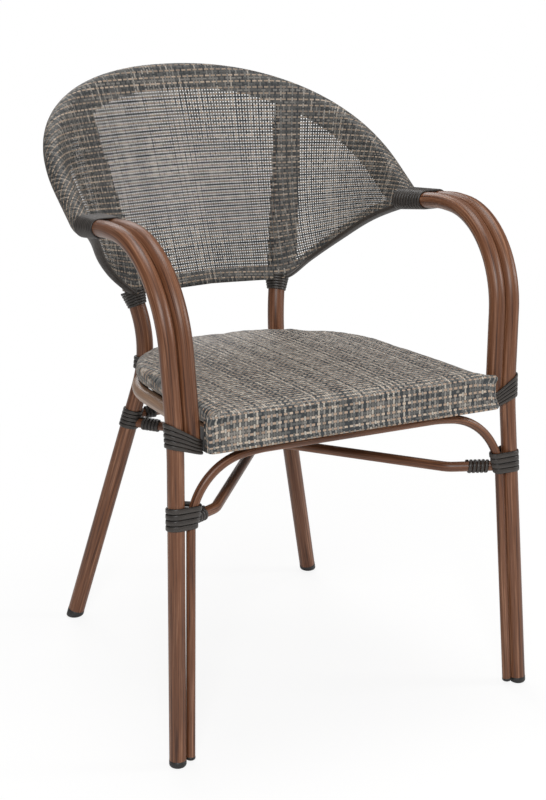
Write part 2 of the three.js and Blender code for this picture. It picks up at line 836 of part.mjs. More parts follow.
// The tall front face: fabric and foam that curl round the front of the rail.
function seatFrontFace() {
  const front = -(seatFaceForward - frontRailForward);
  const back = cushionFront - pieceGap;
  const bottom = seatTop - seatFaceHeight;
  const startAngle = Math.acos(back / (railRadius + 2 * pieceGap));
  const endAngle = radians(faceLeavesRailAngle);
  const sweep = endAngle - startAngle;
  const round = ringRadius(railRadius, sweep / faceArcSteps);
  const shape = new THREE.Shape();
  shape.moveTo(back, seatTop);
  for (let i = 0; i <= faceArcSteps; i++) {
    const angle = startAngle + (sweep * i) / faceArcSteps;
    shape.lineTo(round * Math.cos(angle), round * Math.sin(angle));
  }
  shape.lineTo(round * Math.cos(endAngle), bottom);
  shape.lineTo(front + seatFaceRounding, bottom);
  shape.quadraticCurveTo(front, bottom, front, bottom + seatFaceRounding);
  shape.lineTo(front, seatTop - seatFaceRounding);
  shape.quadraticCurveTo(front, seatTop, front + seatFaceRounding, seatTop);
  const across = 2 * seatFaceHalfWidth;
  const options = { depth: across, bevelEnabled: false, curveSegments: faceRoundingSteps };
  const geometry = new THREE.ExtrudeGeometry(shape, options);
  geometry.applyMatrix4(new THREE.Matrix4().makeBasis(point(0, 1, 0), point(0, 0, 1), point(1, 0, 0)));
  geometry.translate(-seatFaceHalfWidth, 0, 0);
  return named("seat_front_face", geometry, weave);
}

// Cushion: rings of the plan from the drawn-in underside up to the crown.
function seatCushion() {
  const bottom = boardBottom + baseBoardThickness + pieceGap;
  const frontY = cushionFront + pieceGap;
  const eased = cushionEdgeRounding * cushionEdgeShare;
  const levels = [
    { inset: cushionDrawIn, height: bottom },
    { inset: 0, height: bottom + cushionDrawHeight },
    { inset: 0, height: seatTop - cushionEdgeRounding },
    { inset: eased, height: seatTop - eased },
    { inset: cushionEdgeRounding, height: seatTop },
  ];
  const rings = levels.map(({ inset, height }) =>
    closedPlanRing(seatPlan(inset, frontY, cushionBendSteps)).map((p) => point(p.x, p.y, height)),
  );
  const outline = rings[rings.length - 1];
  const middle = outline.reduce((sum, p) => sum.add(p), point(0, 0, 0)).divideScalar(outline.length);
  for (const share of cushionCrownShares) {
    const rise = cushionCrown * Math.sin(share * QUARTER_TURN);
    rings.push(outline.map((p) => between(p, middle, share).setZ(seatTop + rise)));
  }
  return named("seat_cushion", ringsGeometry(rings), weave);
}

// Turns a plan line into a ring that runs the right way round for an upward stack.
function closedPlanRing(plan) {
  return [...plan].reverse();
}

// The board sinks between the rails until its edge rests on their shoulders.
const boardBottom = railRadius - baseBoardSink;
const boardFromRail = Math.sqrt(railRadius ** 2 - boardBottom ** 2);

function baseBoard() {
  const plan = seatPlan(railInset + boardFromRail, boardFromRail, railBendSteps);
  const shape = new THREE.Shape(plan.map((p) => new THREE.Vector2(p.x, p.y)));
  const geometry = new THREE.ExtrudeGeometry(shape, { depth: baseBoardThickness, bevelEnabled: false });
  geometry.translate(0, 0, boardBottom);
  return named("seat_base_board", geometry, board);
}

function boardScrew(name, across, along) {
  const head = screwHeadDiameter * HALF;
  const profile = [
    new THREE.Vector2(0, 0),
    new THREE.Vector2(head * stripCrownShare, 0),
    new THREE.Vector2(head, screwHeadHeight * HALF),
    new THREE.Vector2(head, screwHeadHeight),
    new THREE.Vector2(0, screwHeadHeight),
  ];
  const screw = named(name, new THREE.LatheGeometry(profile, slimTubeSides), steel);
  screw.rotation.x = QUARTER_TURN;
  screw.position.set(across, along, boardBottom - pieceGap - screwHeadHeight);
  return screw;
}

function boardScrews() {
  const screws = [];
  const inFromRail = railTubeDiameter + screwInsetFromRail;
  const across = seatBackHalfWidth - inFromRail;
  const rows = [
    { row: "front", along: inFromRail },
    { row: "rear", along: cushionBack * rearScrewShare },
  ];
  for (const { row, along } of rows) {
    screws.push(boardScrew("board_screw_" + row + "_left", -across, along));
    screws.push(boardScrew("board_screw_" + row + "_right", across, along));
  }
  return screws;
}

// A plate on the outside of the seat rail, beside the strips of the front joint.
function sidePlate(name) {
  const geometry = new THREE.BoxGeometry(sidePlateThickness, sidePlateLength, sidePlateHeight);
  const frontEdge = cushionFront + pieceGap;
  geometry.translate(sidePlateThickness * HALF - plateOuterFace, frontEdge + sidePlateLength * HALF, 0);
  return named(name, geometry, darkStrip);
}

// The stub that carries the back of the seat rail from the post.
function rearStub(name) {
  const post = alongTube(backLegStations(), stubHeight()).place;
  const local = post.sub(frontRailCentre).applyAxisAngle(point(1, 0, 0), radians(seatTilt));
  const plan = seatPlanHalf(railInset, railRadius, stubSearchSteps);
  const nearest = plan.reduce((a, b) => (flatDistance(a, local) < flatDistance(b, local) ? a : b));
  const direction = point(local.x - nearest.x, local.y - nearest.y, 0).normalize();
  const from = nearest.clone().addScaledVector(direction, railRadius + 2 * pieceGap);
  const strips = woundRadius(backTubeDiameter + 2 * tieWrapSlack, roundTurnSteps) + 2 * pieceGap;
  const to = local.clone().addScaledVector(direction, -strips).setZ(0);
  return named(name, tubeGeometry([from, to], rearStubDiameter, slimTubeSides), darkStrip);
}

function flatDistance(a, b) {
  return Math.hypot(a.x - b.x, a.y - b.y);
}

function stubHeight() {
  return seatTieWrapHeight + seatTieWrapTurns * seatTieWrapPitch * HALF;
}

function seatGroup() {
  const seat = new THREE.Group();
  seat.position.copy(frontRailCentre);
  seat.rotation.x = -radians(seatTilt);
  seat.add(seatRail(), seatFrontRail(), seatFrontFace(), seatCushion(), baseBoard(), ...boardScrews());
  seat.add(...pair("side_plate", sidePlate));
  seat.add(...pair("rear_stub", rearStub));
  return seat;
}

// Fabric back

const sleeveBore = armTubeDiameter * HALF + pieceGap;
const panelBack = backTubeDiameter * HALF + panelFrontGap;

// Places along the fabric's lower edge, by the share of the way from the arm to the post.
function wingEdge() {
  const place = (inside, back, drop) => point(hoopCorner.x + inside, back, hoopCorner.z - drop);
  const upper = place(wingUpperInside, hoopCornerBack, wingUpperDrop);
  const shoulder = place(wingShoulderInside, wingShoulderBack, wingShoulderDrop);
  const middle = place(wingMiddleInside, wingMiddleBack, wingMiddleDrop);
  const lower = place(wingLowerInside, wingLowerBack, wingLowerDrop);
  const foot = place(wingFootInside, wingFootBack, wingFootDrop);
  return new THREE.CatmullRomCurve3([upper, shoulder, middle, lower, foot, postFootPlace()]);
}

function postFootPlace() {
  return atHeight(backKnee, postTop, hoopCornerHeight - lowerEdgeDrop);
}

function lowerEdgeAt(share) {
  const corner = postFootPlace();
  const middle = point(0, corner.y - lowerEdgeMiddleRise, corner.z + lowerEdgeMiddleRise);
  return between(corner, middle, share);
}

// Stations of the sleeve: where the hoop is, and where the fabric's lower edge lies from it.
function fabricHalfStations() {
  const hoop = hoopHalfStations();
  const first = hoop.findIndex((p) => p.y > armWrapEnd.y + sleeveStartAfterWrap);
  const covered = [atDepth(hoop[first - 1], hoop[first], armWrapEnd.y + sleeveStartAfterWrap)];
  covered.push(...hoop.slice(first));
  const lengths = [0];
  for (let i = 1; i < covered.length; i++) {
    lengths.push(lengths[i - 1] + covered[i].distanceTo(covered[i - 1]));
  }
  const whole = lengths[lengths.length - 1];
  const postShare = lengthShareAt(covered, lengths, -postTopHalfSpacing) / whole;
  const wing = wingEdge();
  return covered.map((place, i) => {
    const share = lengths[i] / whole;
    const onWing = share < postShare;
    const within = onWing ? share / postShare : (share - postShare) / (1 - postShare);
    return { place, edge: onWing ? wing.getPoint(within) : lowerEdgeAt(within) };
  });
}

// Length along the covered hoop up to the given distance from the middle plane.
function lengthShareAt(covered, lengths, across) {
  const after = covered.findIndex((p) => p.x > across);
  const before = covered[after - 1];
  const share = (across - before.x) / (covered[after].x - before.x);
  return lengths[after - 1] + share * (lengths[after] - lengths[after - 1]);
}

// Outline of the sleeve and the panel in the section's own axes: along the panel, and forward.
function sectionOutline(panelLength) {
  const outer = ringRadius(sleeveBore, FULL_TURN / sleeveSides) + sleeveWall;
  const rear = panelBack;
  const front = panelBack + sleeveWall;
  const tail = [
    { along: panelLength, forward: front, onPanel: true },
    { along: outer * panelFrontRootShare, forward: front, onPanel: true },
  ];
  const round = [];
  const from = radians(sleeveFrontAngle);
  const to = FULL_TURN + radians(sleeveRearAngle);
  for (let i = 0; i < sleeveSides; i++) {
    const angle = from + ((to - from) * i) / (sleeveSides - 1);
    round.push({ along: outer * Math.cos(angle), forward: outer * Math.sin(angle), onPanel: false });
  }
  const seat = [
    { along: outer * panelRearRootShare, forward: rear, onPanel: true },
    { along: panelLength, forward: rear, onPanel: true },
  ];
  return [...tail, ...round, ...seat];
}

function boreOutline() {
  const radius = ringRadius(armTubeDiameter * HALF, FULL_TURN / sleeveSides);
  return circleOutline(radius, sleeveSides).map((p) => ({ along: p.x, forward: p.y, onPanel: false }));
}

function fabricStations() {
  const half = fabricHalfStations();
  const other = half
    .slice(0, -1)
    .reverse()
    .map(({ place, edge }) => ({ place: mirrored(place), edge: mirrored(edge) }));
  return [...half, ...other];
}

// Turns the section's own axes into places of the chair at one station.
function sectionFrame(stations, index) {
  const places = stations.map((s) => s.place);
  const tangent = tangentAt(places, index);
  const { place, edge } = stations[index];
  const ruling = edge.clone().sub(place);
  const length = ruling.length();
  ruling.normalize();
  const forward = ruling.clone().cross(tangent).normalize();
  const square = tangent.clone().cross(forward).normalize();
  if (square.dot(ruling) < 0) square.negate();
  const placeOf = ({ along, forward: ahead, onPanel }) => {
    const run = onPanel ? ruling : square;
    return place.clone().addScaledVector(run, along).addScaledVector(forward, ahead);
  };
  return { placeOf, length };
}

function fabricBack() {
  const stations = fabricStations();
  const outerRings = [];
  const boreRings = [];
  stations.forEach((station, index) => {
    const { placeOf, length } = sectionFrame(stations, index);
    outerRings.push(sectionOutline(length).map(placeOf));
    boreRings.push(boreOutline().map(placeOf));
  });
  return named("backrest_fabric", pipedGeometry(outerRings, boreRings), weave);
}

// A long solid with a bore through it: outer rings, bore rings and flat ends between them.
function pipedGeometry(outerRings, boreRings) {
  const outerCount = outerRings[0].length;
  const boreCount = boreRings[0].length;
  const points = [...outerRings.flat(), ...boreRings.flat()];
  const boreStart = outerRings.length * outerCount;
  const faces = [];
  // The two faces of the panel are split along the same diagonals, so that they stay apart where it twists.
  const wall = (start, count, flip) => {
    for (let r = 0; r < outerRings.length - 1; r++) {
      for (let i = 0; i < count; i++) {
        const a = start + r * count + i;
        const b = start + r * count + ((i + 1) % count);
        const outward = i < count * HALF
          ? [a, b + count, b, a, a + count, b + count]
          : [a, a + count, b, b, a + count, b + count];
        faces.push(...(flip ? outward.reverse() : outward));
      }
    }
  };
  wall(0, outerCount, false);
  wall(boreStart, boreCount, true);
  const lastRing = outerRings.length - 1;
  for (const ring of [0, lastRing]) {
    const flat = (p) => new THREE.Vector2(p.along, p.forward);
    const outer = sectionOutline(flatLength(outerRings[ring])).map(flat);
    const bore = boreOutline().map(flat);
    const indexOf = (i) =>
      i < outerCount ? ring * outerCount + i : boreStart + ring * boreCount + (i - outerCount);
    for (const [a, b, c] of THREE.ShapeUtils.triangulateShape(outer, [bore])) {
      const lid = [indexOf(a), indexOf(b), indexOf(c)];
      faces.push(...(ring === 0 ? lid : [lid[0], lid[2], lid[1]]));
    }
  }
  return facesGeometry(points, faces);
}

// Length of the panel at the end ring, from its tip to the root of its front face.
function flatLength(ring) {
  return ring[0].distanceTo(ring[1]) + armTubeDiameter * HALF * panelFrontRootShare;
}

// The rear half of the sleeve round each post.
function postSleeve(name) {
  const inner = backTubeDiameter * HALF + pieceGap;
  const outer = inner + sleeveWall;
  const legs = panelBack - 2 * pieceGap;
  const shape = new THREE.Shape();
  shape.moveTo(outer, legs);
  shape.lineTo(outer, 0);
  shape.absarc(0, 0, outer, 0, -Math.PI, true);
  shape.lineTo(-outer, legs);
  shape.lineTo(-inner, legs);
  shape.lineTo(-inner, 0);
  shape.absarc(0, 0, inner / Math.cos(QUARTER_TURN / postSleeveSteps), -Math.PI, 0, false);
  shape.lineTo(inner, legs);
  const low = postFootPlace().addScaledVector(postAxis, sleeveAboveEdge);
  const high = between(postTop, low, postSleeveTopShare);
  const length = low.distanceTo(high);
  const options = { depth: length, bevelEnabled: false, curveSegments: postSleeveSteps };
  const geometry = new THREE.ExtrudeGeometry(shape, options);
  const tangent = inHoopTangent(-postTopHalfSpacing);
  const forward = postAxis.clone().negate().cross(tangent).normalize();
  const sideways = forward.clone().cross(postAxis).normalize();
  const basis = new THREE.Matrix4().makeBasis(sideways, forward, postAxis);
  if (basis.determinant() < 0) basis.makeBasis(sideways.negate(), forward, postAxis);
  geometry.applyMatrix4(basis.setPosition(low));
  return named(name, geometry, weave);
}

function inHoopTangent(across) {
  return hoopAt(across + backRadius).sub(hoopAt(across - backRadius)).normalize();
}

function mirroredGeometry(geometry) {
  const flat = geometry.index ? geometry.toNonIndexed() : geometry.clone();
  const array = flat.attributes.position.array;
  const turned = new Float32Array(array.length);
  for (let face = 0; face < array.length; face += FACE_VALUES) {
    [0, 2, 1].forEach((from, to) => {
      const read = face + from * POINT_VALUES;
      const write = face + to * POINT_VALUES;
      turned[write] = -array[read];
      turned[write + 1] = array[read + 1];
      turned[write + 2] = array[read + 2];
    });
  }
  const geometryOut = new THREE.BufferGeometry();
  geometryOut.setAttribute("position", new THREE.BufferAttribute(turned, POINT_VALUES));
  geometryOut.computeVertexNormals();
  return geometryOut;
}

// The dark edging behind each wing of the fabric, from the arm to the post.
function wingBinding(name) {
  const stations = fabricStations();
  const half = fabricHalfStations();
  const rings = [];
  const last = half.findIndex((s) => s.edge.x > postFootPlace().x - backTubeDiameter) - 1;
  for (let i = bindingSkippedSteps; i <= last; i++) {
    const { placeOf, length } = sectionFrame(stations, i);
    const back = panelBack - pieceGap * 2;
    const share = (i - bindingSkippedSteps) / (last - bindingSkippedSteps);
    const depth = bindingDepthAtArm + (bindingDepthAtPost - bindingDepthAtArm) * share;
    const section = bindingShares.map(([fromEdge, deep]) => ({
      along: length - bindingEdgeInset - bindingWidth * fromEdge,
      forward: back - depth * deep,
      onPanel: true,
    }));
    rings.push(section.map(placeOf));
  }
  return named(name, ringsGeometry(rings.reverse()), darkStrip);
}

// Wound strips on the joints of the left side

function armWrap(name) {
  return woundStrip(name, {
    start: armWrapStart,
    axis: armWrapAxis,
    across: inwards,
    firstRadius: armRadius,
    secondRadius: armRadius,
    spacing: innerArmSpacing,
    steps: armTurnSteps,
    turns: armWrapTurns - 1,
    pitch: armWrapPitch,
    thickness: fineStripThickness,
  });
}

const seatWrapLength = (seatWrapTurns + 1) * seatWrapPitch;

function seatWrap(name) {
  const leg = outerArmStations();
  const start = alongTube(leg, seatWrapHeight).place;
  return woundStrip(name, {
    start,
    axis: alongTube(leg, seatWrapHeight + seatWrapLength).place.sub(start),
    across: inwards,
    firstRadius: armRadius,
    secondRadius: armRadius,
    spacing: innerArmSpacing,
    steps: longTurnSteps,
    turns: seatWrapTurns,
    pitch: seatWrapPitch,
    slant: -seatWrapLowSlantShare,
    slantGrowth: seatWrapLowSlantShare - seatWrapHighSlantShare,
  });
}

// The strips round the seat ties lie on the bend of the leg, so they take the mean direction.
function seatTieWrap(name) {
  const stations = backLegStations();
  const start = alongTube(stations, seatTieWrapHeight).place;
  const length = (seatTieWrapTurns + 1) * seatTieWrapPitch;
  return woundStrip(name, {
    start,
    axis: alongTube(stations, seatTieWrapHeight + length).place.sub(start),
    across: backwards,
    firstRadius: backRadius + tieWrapSlack,
    steps: roundTurnSteps,
    turns: seatTieWrapTurns,
    pitch: seatTieWrapPitch,
  });
}

function postFootWrap(name) {
  return woundStrip(name, {
    start: atHeight(backKnee, postTop, postFootPlace().z - postFootWrapBelowEdge),
    axis: postAxis,
    across: backwards,
    firstRadius: backRadius,
    steps: roundTurnSteps,
    turns: postFootWrapTurns,
    pitch: postFootWrapPitch,
    spread: postFootWrapSpread,
    thickness: fineStripThickness,
  });
}

function stretcherFrontWrap(name) {
  const leg = stretcherFrontEnd();
  const toBend = stretcherBend.clone().sub(leg).normalize();
  return woundStrip(name, {
    start: leg.addScaledVector(toBend, stretcherWrapReach),
    axis: toBend,
    across: point(0, 0, 1),
    firstRadius: slimRadius,
    steps: slimTurnSteps,
    turns: stretcherFrontWrapTurns,
    pitch: ribPitch,
  });
}

// Where strips on a tube can start so that they clear the strips on the raked back leg.
function besideBackLeg(legPlace, toward) {
  const rake = backLegAxis.angleTo(point(0, 0, 1));
  const besideRake = woundRadius(slimTubeDiameter, slimTurnSteps) * Math.sin(rake);
  const reach = woundRadius(backTubeDiameter, roundTurnSteps) + besideRake + 2 * pieceGap;
  return legPlace.addScaledVector(toward, reach);
}

function stretcherRearWrap(name) {
  const toBend = stretcherBend.clone().sub(stretcherRearEnd()).normalize();
  return woundStrip(name, {
    start: besideBackLeg(stretcherRearEnd(), toBend),
    axis: toBend,
    across: point(0, 0, 1),
    firstRadius: slimRadius,
    steps: slimTurnSteps,
    turns: stretcherRearWrapTurns,
    pitch: ribPitch,
  });
}

function crossbarWrap(name) {
  return woundStrip(name, {
    start: besideBackLeg(atHeight(backFoot, backKnee, crossbarHeight), inwards),
    axis: inwards,
    across: point(0, 0, 1),
    firstRadius: slimRadius,
    steps: slimTurnSteps,
    turns: crossbarWrapTurns,
    pitch: ribPitch,
  });
}

// Foot caps: a cup on the raked tube end, cut flat at the floor and beside a neighbouring cap.
function footCap(name, diameter, foot, above, neighbourSide = 0) {
  const axis = above.clone().sub(foot).normalize();
  const low = atHeight(foot, above, capFloor + footTipLift(diameter, foot, above));
  const inner = diameter * HALF / Math.cos(Math.PI / capSides) + pieceGap;
  const outer = inner + capWall;
  const under = 2 * (capFloor + outer * Math.sin(axis.angleTo(point(0, 0, 1))));
  const profile = [
    new THREE.Vector2(0, -under),
    new THREE.Vector2(outer, -under),
    new THREE.Vector2(outer, capHeight - capWall),
    new THREE.Vector2(outer - capWall * HALF, capHeight),
    new THREE.Vector2(inner, capHeight),
    new THREE.Vector2(inner, -pieceGap),
    new THREE.Vector2(0, -pieceGap),
  ];
  const cup = new THREE.LatheGeometry(profile, capSides);
  cup.applyQuaternion(new THREE.Quaternion().setFromUnitVectors(point(0, 1, 0), axis));
  cup.translate(low.x, low.y, low.z);
  const blockSize = 4 * outer;
  const block = new THREE.BoxGeometry(blockSize, blockSize, blockSize);
  block.translate(low.x, low.y, -blockSize * HALF);
  const cuts = [block];
  if (neighbourSide !== 0) {
    const beside = block.clone();
    const toFace = diameter * HALF + capNeighbourRoom;
    beside.translate(neighbourSide * (blockSize * HALF + toFace), 0, blockSize * HALF);
    beside.translate(-low.x, -low.y, 0).applyMatrix4(leanOf(axis)).translate(low.x, low.y, 0);
    cuts.push(beside);
  }
  return named(name, cutAway(cup, ...cuts), darkCap);
}

// Shear that keeps level planes level and carries the upright onto the axis of a leg.
function leanOf(axis) {
  return new THREE.Matrix4().set(1, 0, axis.x / axis.z, 0, 0, 1, axis.y / axis.z, 0, 0, 0, 1, 0, 0, 0, 0, 1);
}

// Pairs: the left piece and its mirror image

function pair(baseName, make) {
  const left = make(baseName + "_left");
  const right = new THREE.Mesh(mirroredGeometry(left.geometry), left.material.clone());
  right.name = baseName + "_right";
  return [left, right];
}

function buildChair() {
  const chair = new THREE.Group();
  chair.add(...pair("front_leg_arm", frontLegArm));
  chair.add(...pair("inner_arm_tube", innerArm));
  chair.add(...pair("back_leg_post", backLegPost));
  chair.add(backHoop(), frontArch(), throughStretcher(), ...stretcherHalves(), rearCrossbar());
  chair.add(seatGroup());
  chair.add(fabricBack());
  chair.add(...pair("post_sleeve", postSleeve));
  chair.add(...pair("wing_binding", wingBinding));
  chair.add(...pair("arm_wrap", armWrap));
  chair.add(...pair("seat_joint_wrap", seatWrap));
  chair.add(...pair("lower_joint_wrap", (name) => woundStrip(name, lowerWrapPlan)));
  chair.add(...pair("back_leg_wrap", (name) => woundStrip(name, backLegWrapPlan)));
  chair.add(...pair("seat_tie_wrap", seatTieWrap));
  chair.add(...pair("post_foot_wrap", postFootWrap));
  chair.add(...pair("stretcher_front_wrap", stretcherFrontWrap));
  chair.add(...pair("stretcher_rear_wrap", stretcherRearWrap));
  chair.add(...pair("crossbar_wrap", crossbarWrap));
  chair.add(...pair("front_foot_cap", (name) => footCap(name, armTubeDiameter, frontFoot, legWaist, 1)));
  chair.add(...pair("arch_foot_cap", (name) => footCap(name, archTubeDiameter, archFoot, archCorner, -1)));
  chair.add(...pair("back_foot_cap", (name) => footCap(name, backTubeDiameter, backFoot, backKnee)));
  return chair;
}

const chair = buildChair();
chair.updateMatrixWorld(true);
const reach = new THREE.Box3().setFromObject(chair, true);
chair.position.y = -(reach.min.y + reach.max.y) * HALF;

const model = new THREE.Group();
model.add(chair);

export default model;
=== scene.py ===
import json
import math

import bmesh
import bpy
from mathutils import Matrix, Vector

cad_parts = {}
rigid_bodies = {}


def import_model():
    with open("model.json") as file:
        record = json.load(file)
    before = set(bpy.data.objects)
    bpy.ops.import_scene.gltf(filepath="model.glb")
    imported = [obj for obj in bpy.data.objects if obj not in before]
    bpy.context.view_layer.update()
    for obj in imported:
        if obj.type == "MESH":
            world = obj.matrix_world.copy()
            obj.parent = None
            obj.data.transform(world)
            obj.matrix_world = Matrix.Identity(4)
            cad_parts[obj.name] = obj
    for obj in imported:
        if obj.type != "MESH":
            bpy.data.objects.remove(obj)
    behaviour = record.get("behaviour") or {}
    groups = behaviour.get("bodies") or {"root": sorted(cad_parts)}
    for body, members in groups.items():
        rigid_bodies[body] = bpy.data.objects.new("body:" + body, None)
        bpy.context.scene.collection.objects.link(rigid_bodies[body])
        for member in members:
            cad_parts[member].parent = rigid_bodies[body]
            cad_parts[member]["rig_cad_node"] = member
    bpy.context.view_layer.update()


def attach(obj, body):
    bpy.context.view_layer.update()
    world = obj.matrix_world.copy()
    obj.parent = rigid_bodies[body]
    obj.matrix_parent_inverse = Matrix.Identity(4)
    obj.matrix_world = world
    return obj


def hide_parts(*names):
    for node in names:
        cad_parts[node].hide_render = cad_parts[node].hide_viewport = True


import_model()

bl_info = {
    "name": "Rattan bistro armchair",
    "version": (1, 0, 0),
    "blender": (4, 5, 0),
    "location": "3D View > Sidebar > Chair",
    "description": "Dresses the packed chair frame with tubes, wound strips, a padded seat and a woven back",
    "category": "Object",
}

BODY = "root"
MM = 0.001

# Sizes of the frame in millimetres, as in the part's source, measured from the middle of the chair
FRAME_SHIFT_Y = -186.006
PIECE_GAP = 0.3
BEND_ROOM_SHARE = 0.96
BEND_STEPS = 20
ARC_STEPS = 72
STRAIGHT_STEPS = 8

ARM_TUBE = 22
BACK_TUBE = 25
SLIM_TUBE = 14
ARCH_TUBE = 12
RAIL_TUBE = 21

RAIL_HEIGHT = 421.5
RAIL_FORWARD = 92
WAIST = Vector((-248.2, -76, 421))
FRONT_FOOT = Vector((-265.5, -105, 0))
ARM_CORNER = Vector((-259.3, -63, 658.5))
ARM_REST = Vector((-262.8, 86, 662.5))
HOOP_CORNER = Vector((-257, 195, 650.5))
ARM_RADII = (700, 135, 160)
INNER_SPACING = ARM_TUBE + 0.8

HOOP_BEND_RADIUS = 30
HOOP_LEAN = math.radians(31.1)
HOOP_BOW = 4.2
HOOP_STRAIGHT = 66
HOOP_RISE = 262
HOOP_FULLNESS = 2.16

BACK_FOOT = Vector((-208, 407, 0))
BACK_KNEE = Vector((-103.5, 329, 433))
KNEE_RADIUS = 190
POST_TOP_X = 172
POST_END_SHARE = 0.7

CAP_HEIGHT = 7.6
ARCH_CAP_HEIGHT = 3.8
ARCH_FOOT_RISE = 4.6
ARCH_FOOT = Vector((-247.3, -104.5, 0))
ARCH_CORNER = Vector((-230, -81.2, 389))
ARCH_CROWN_X = 134
ARCH_CROWN_HEIGHT = 400.2
ARCH_RADII = (90, 200)

STRETCHER_BEND = Vector((-178, -42, 315.5))
STRETCHER_FRONT_HEIGHT = 318.5
STRETCHER_REAR_HEIGHT = 320
STRETCHER_RADIUS = 40
HALF_STRETCHER_SHARE = 0.7
CROSSBAR_HEIGHT = 332

SEAT_TILT = math.radians(1.3)
SEAT_TOP = 35.2
SEAT_SIDE = 206.2
SEAT_BACK = 187
SEAT_DEPTH = 413
SEAT_ROUNDING = 178
SEAT_DRAW_IN = 12
SEAT_CROWN = 3.5
RAIL_INSET = 8.5
RAIL_CLEARANCE = 0.9
FRONT_RAIL_HALF = 203
FACE_HALF = 218
FACE_FRONT = -14
FACE_BOTTOM = -15.5
CUSHION_BOTTOM = 11.6
CUSHION_FRONT = 4.6
CUSHION_LAP = 8

# Wound strips: pitches, heights, turns and the room that they leave
PAIR_STEPS = 48
STRIP_CLEARANCE = 0.15
STRIP_ROOM = 3.2
ARM_WRAP_BACK = 119
ARM_WRAP_TURNS = 12
ARM_WRAP_PITCH = 5
ARM_STRIP_TURNS = 10
ARM_STRIP_PITCH = 6.5
LOWER_WRAP_HEIGHT = 309
LOWER_WRAP_TURNS = 4
JOINT_PITCH = 7.4
SEAT_WRAP_HEIGHT = 411
SEAT_WRAP_TURNS = 5
SEAT_WRAP_PITCH = 6.9
SEAT_STRIP_PITCH = 5.75
SEAT_WRAP_LIFT = 1.5
LEG_WRAP_HEIGHT = 311
LEG_WRAP_TURNS = 5
LEG_WRAP_PITCH = 5.8
TIE_WRAP_HEIGHT = 402
TIE_WRAP_TURNS = 3
TIE_WRAP_PITCH = 6.2
TIE_CLEARANCE = 0.7
POST_WRAP_BELOW_EDGE = 16.5
POST_WRAP_TURNS = 6
POST_WRAP_PITCH = 4
RIB_PITCH = 5.6
STRETCHER_WRAP_REACH = 28
STRETCHER_WRAP_TURNS = 5
CROSSBAR_WRAP_TURNS = 3

# The woven back, from the part's source and the photograph
EDGE_DROP = 138.5
EDGE_MIDDLE_RISE = 4.5
SLEEVE_RADIUS = 13.7
PANEL_FORWARD = 14.4
REAR_HEM = 14
FOLD_HEM = 20
BAND_TOP_HALF = 13.5
BAND_FOOT_HALF = 16
WING_PLACES = ((3, 195, 14), (29, 243, 39), (57, 291, 75.5), (89, 325, 109.5), (119, 337, 133.5))
SLEEVE_ABOVE_EDGE = 10
HEM_BEHIND = 2.2
FOLD_START = 2
FOLD_BELOW = 0.4
PANEL_TOP_SHARE = 0.35
PANEL_EASE = 40
ROUND_START = math.radians(82)
ROUND_END = math.radians(318)
HEM_SLOPE = 1.3
BAND_WALL = 1.6
BAND_BEHIND_PANEL = 1.8
BAND_TOP_SHARE = 0.06
HOOP_STEP = 12
EDGING_WIDTH = 9
EDGING_DEPTH = 17
EDGING_END_DEPTH = 8
EDGING_PROUD = 1.6
EDGING_ROUNDNESS = 0.6
EDGING_SIDES = 20

# Camera found from the photograph, in the row's frame
CAMERA_PLACE = Vector((-1.0409, -2.0226, 1.0297))
CAMERA_AIM = Vector((0.4483, 0.8503, -0.2756))
CAMERA_LENS = 73.98
CAMERA_SENSOR = 36

# Stage in metres and watts: each lamp's name, place, size and power, and a floor that whitens outwards
LAMPS = (
    ("key", (-1.6, -3.0, 2.4), 1.0, 78),
    ("fill", (3.0, -1.6, 1.6), 0.8, 40),
    ("top", (0.2, 0.2, 3.2), 1.6, 50),
    ("rear", (0.6, 3.0, 2.0), 1.8, 34),
)
LAMP_AIM = Vector((0, 0, 0.45))
SOFT_LIGHT = 0.24
FLOOR_HALF = 12
FLOOR_DROP = 0.0005
FLOOR_TONE = "#f4f3f2"
GLOW_START = 0.4
GLOW_END = 1.3
GLOW_NEAR = 0.86


# Small helpers for places

def up_line(low, high, height):
    return low.lerp(high, (height - low.z) / (high.z - low.z))


def to_depth(front, back, depth):
    return front.lerp(back, (depth - front.y) / (back.y - front.y))


def mirrored(place):
    return Vector((-place.x, place.y, place.z))


def in_frame(place):
    return Vector((place.x, place.y + FRAME_SHIFT_Y, place.z)) * MM


def bend_reaches(corners, radii):
    """How far each bend reaches along the straight runs beside its corner."""
    runs = [b - a for a, b in zip(corners, corners[1:])]
    wanted = [r * math.tan(runs[i].angle(runs[i + 1]) / 2) for i, r in enumerate(radii)]
    room = []
    for i, run in enumerate(runs):
        asked = (wanted[i - 1] if i else 0) + (wanted[i] if i < len(wanted) else 0)
        room.append(min(1, BEND_ROOM_SHARE * run.length / asked))
    return [w * min(room[i], room[i + 1]) for i, w in enumerate(wanted)]


def bent_line(corners, radii, steps=BEND_STEPS):
    """Places along straight runs through the corners, each corner rounded to its radius."""
    line = [corners[0].copy()]
    for i, reach in enumerate(bend_reaches(corners, radii)):
        corner = corners[i + 1]
        toward = (corner - corners[i]).normalized()
        away = (corners[i + 2] - corner).normalized()
        turn = toward.angle(away)
        radius = reach / math.tan(turn / 2)
        inward = (away - toward * away.dot(toward)).normalized()
        centre = corner - toward * reach + inward * radius
        for k in range(steps + 1):
            angle = turn * k / steps
            line.append(centre - inward * (radius * math.cos(angle)) + toward * (radius * math.sin(angle)))
    line.append(corners[-1].copy())
    return line


def both_halves(half):
    return half + [mirrored(p) for p in reversed(half[:-1])]


def line_tangent(line, i):
    before = line[max(i - 1, 0)]
    after = line[min(i + 1, len(line) - 1)]
    return (after - before).normalized()


def at_height(line, height):
    for a, b in zip(line, line[1:]):
        if b.z > height >= a.z:
            return up_line(a, b, height)
    raise ValueError("the line doesn't reach that height")


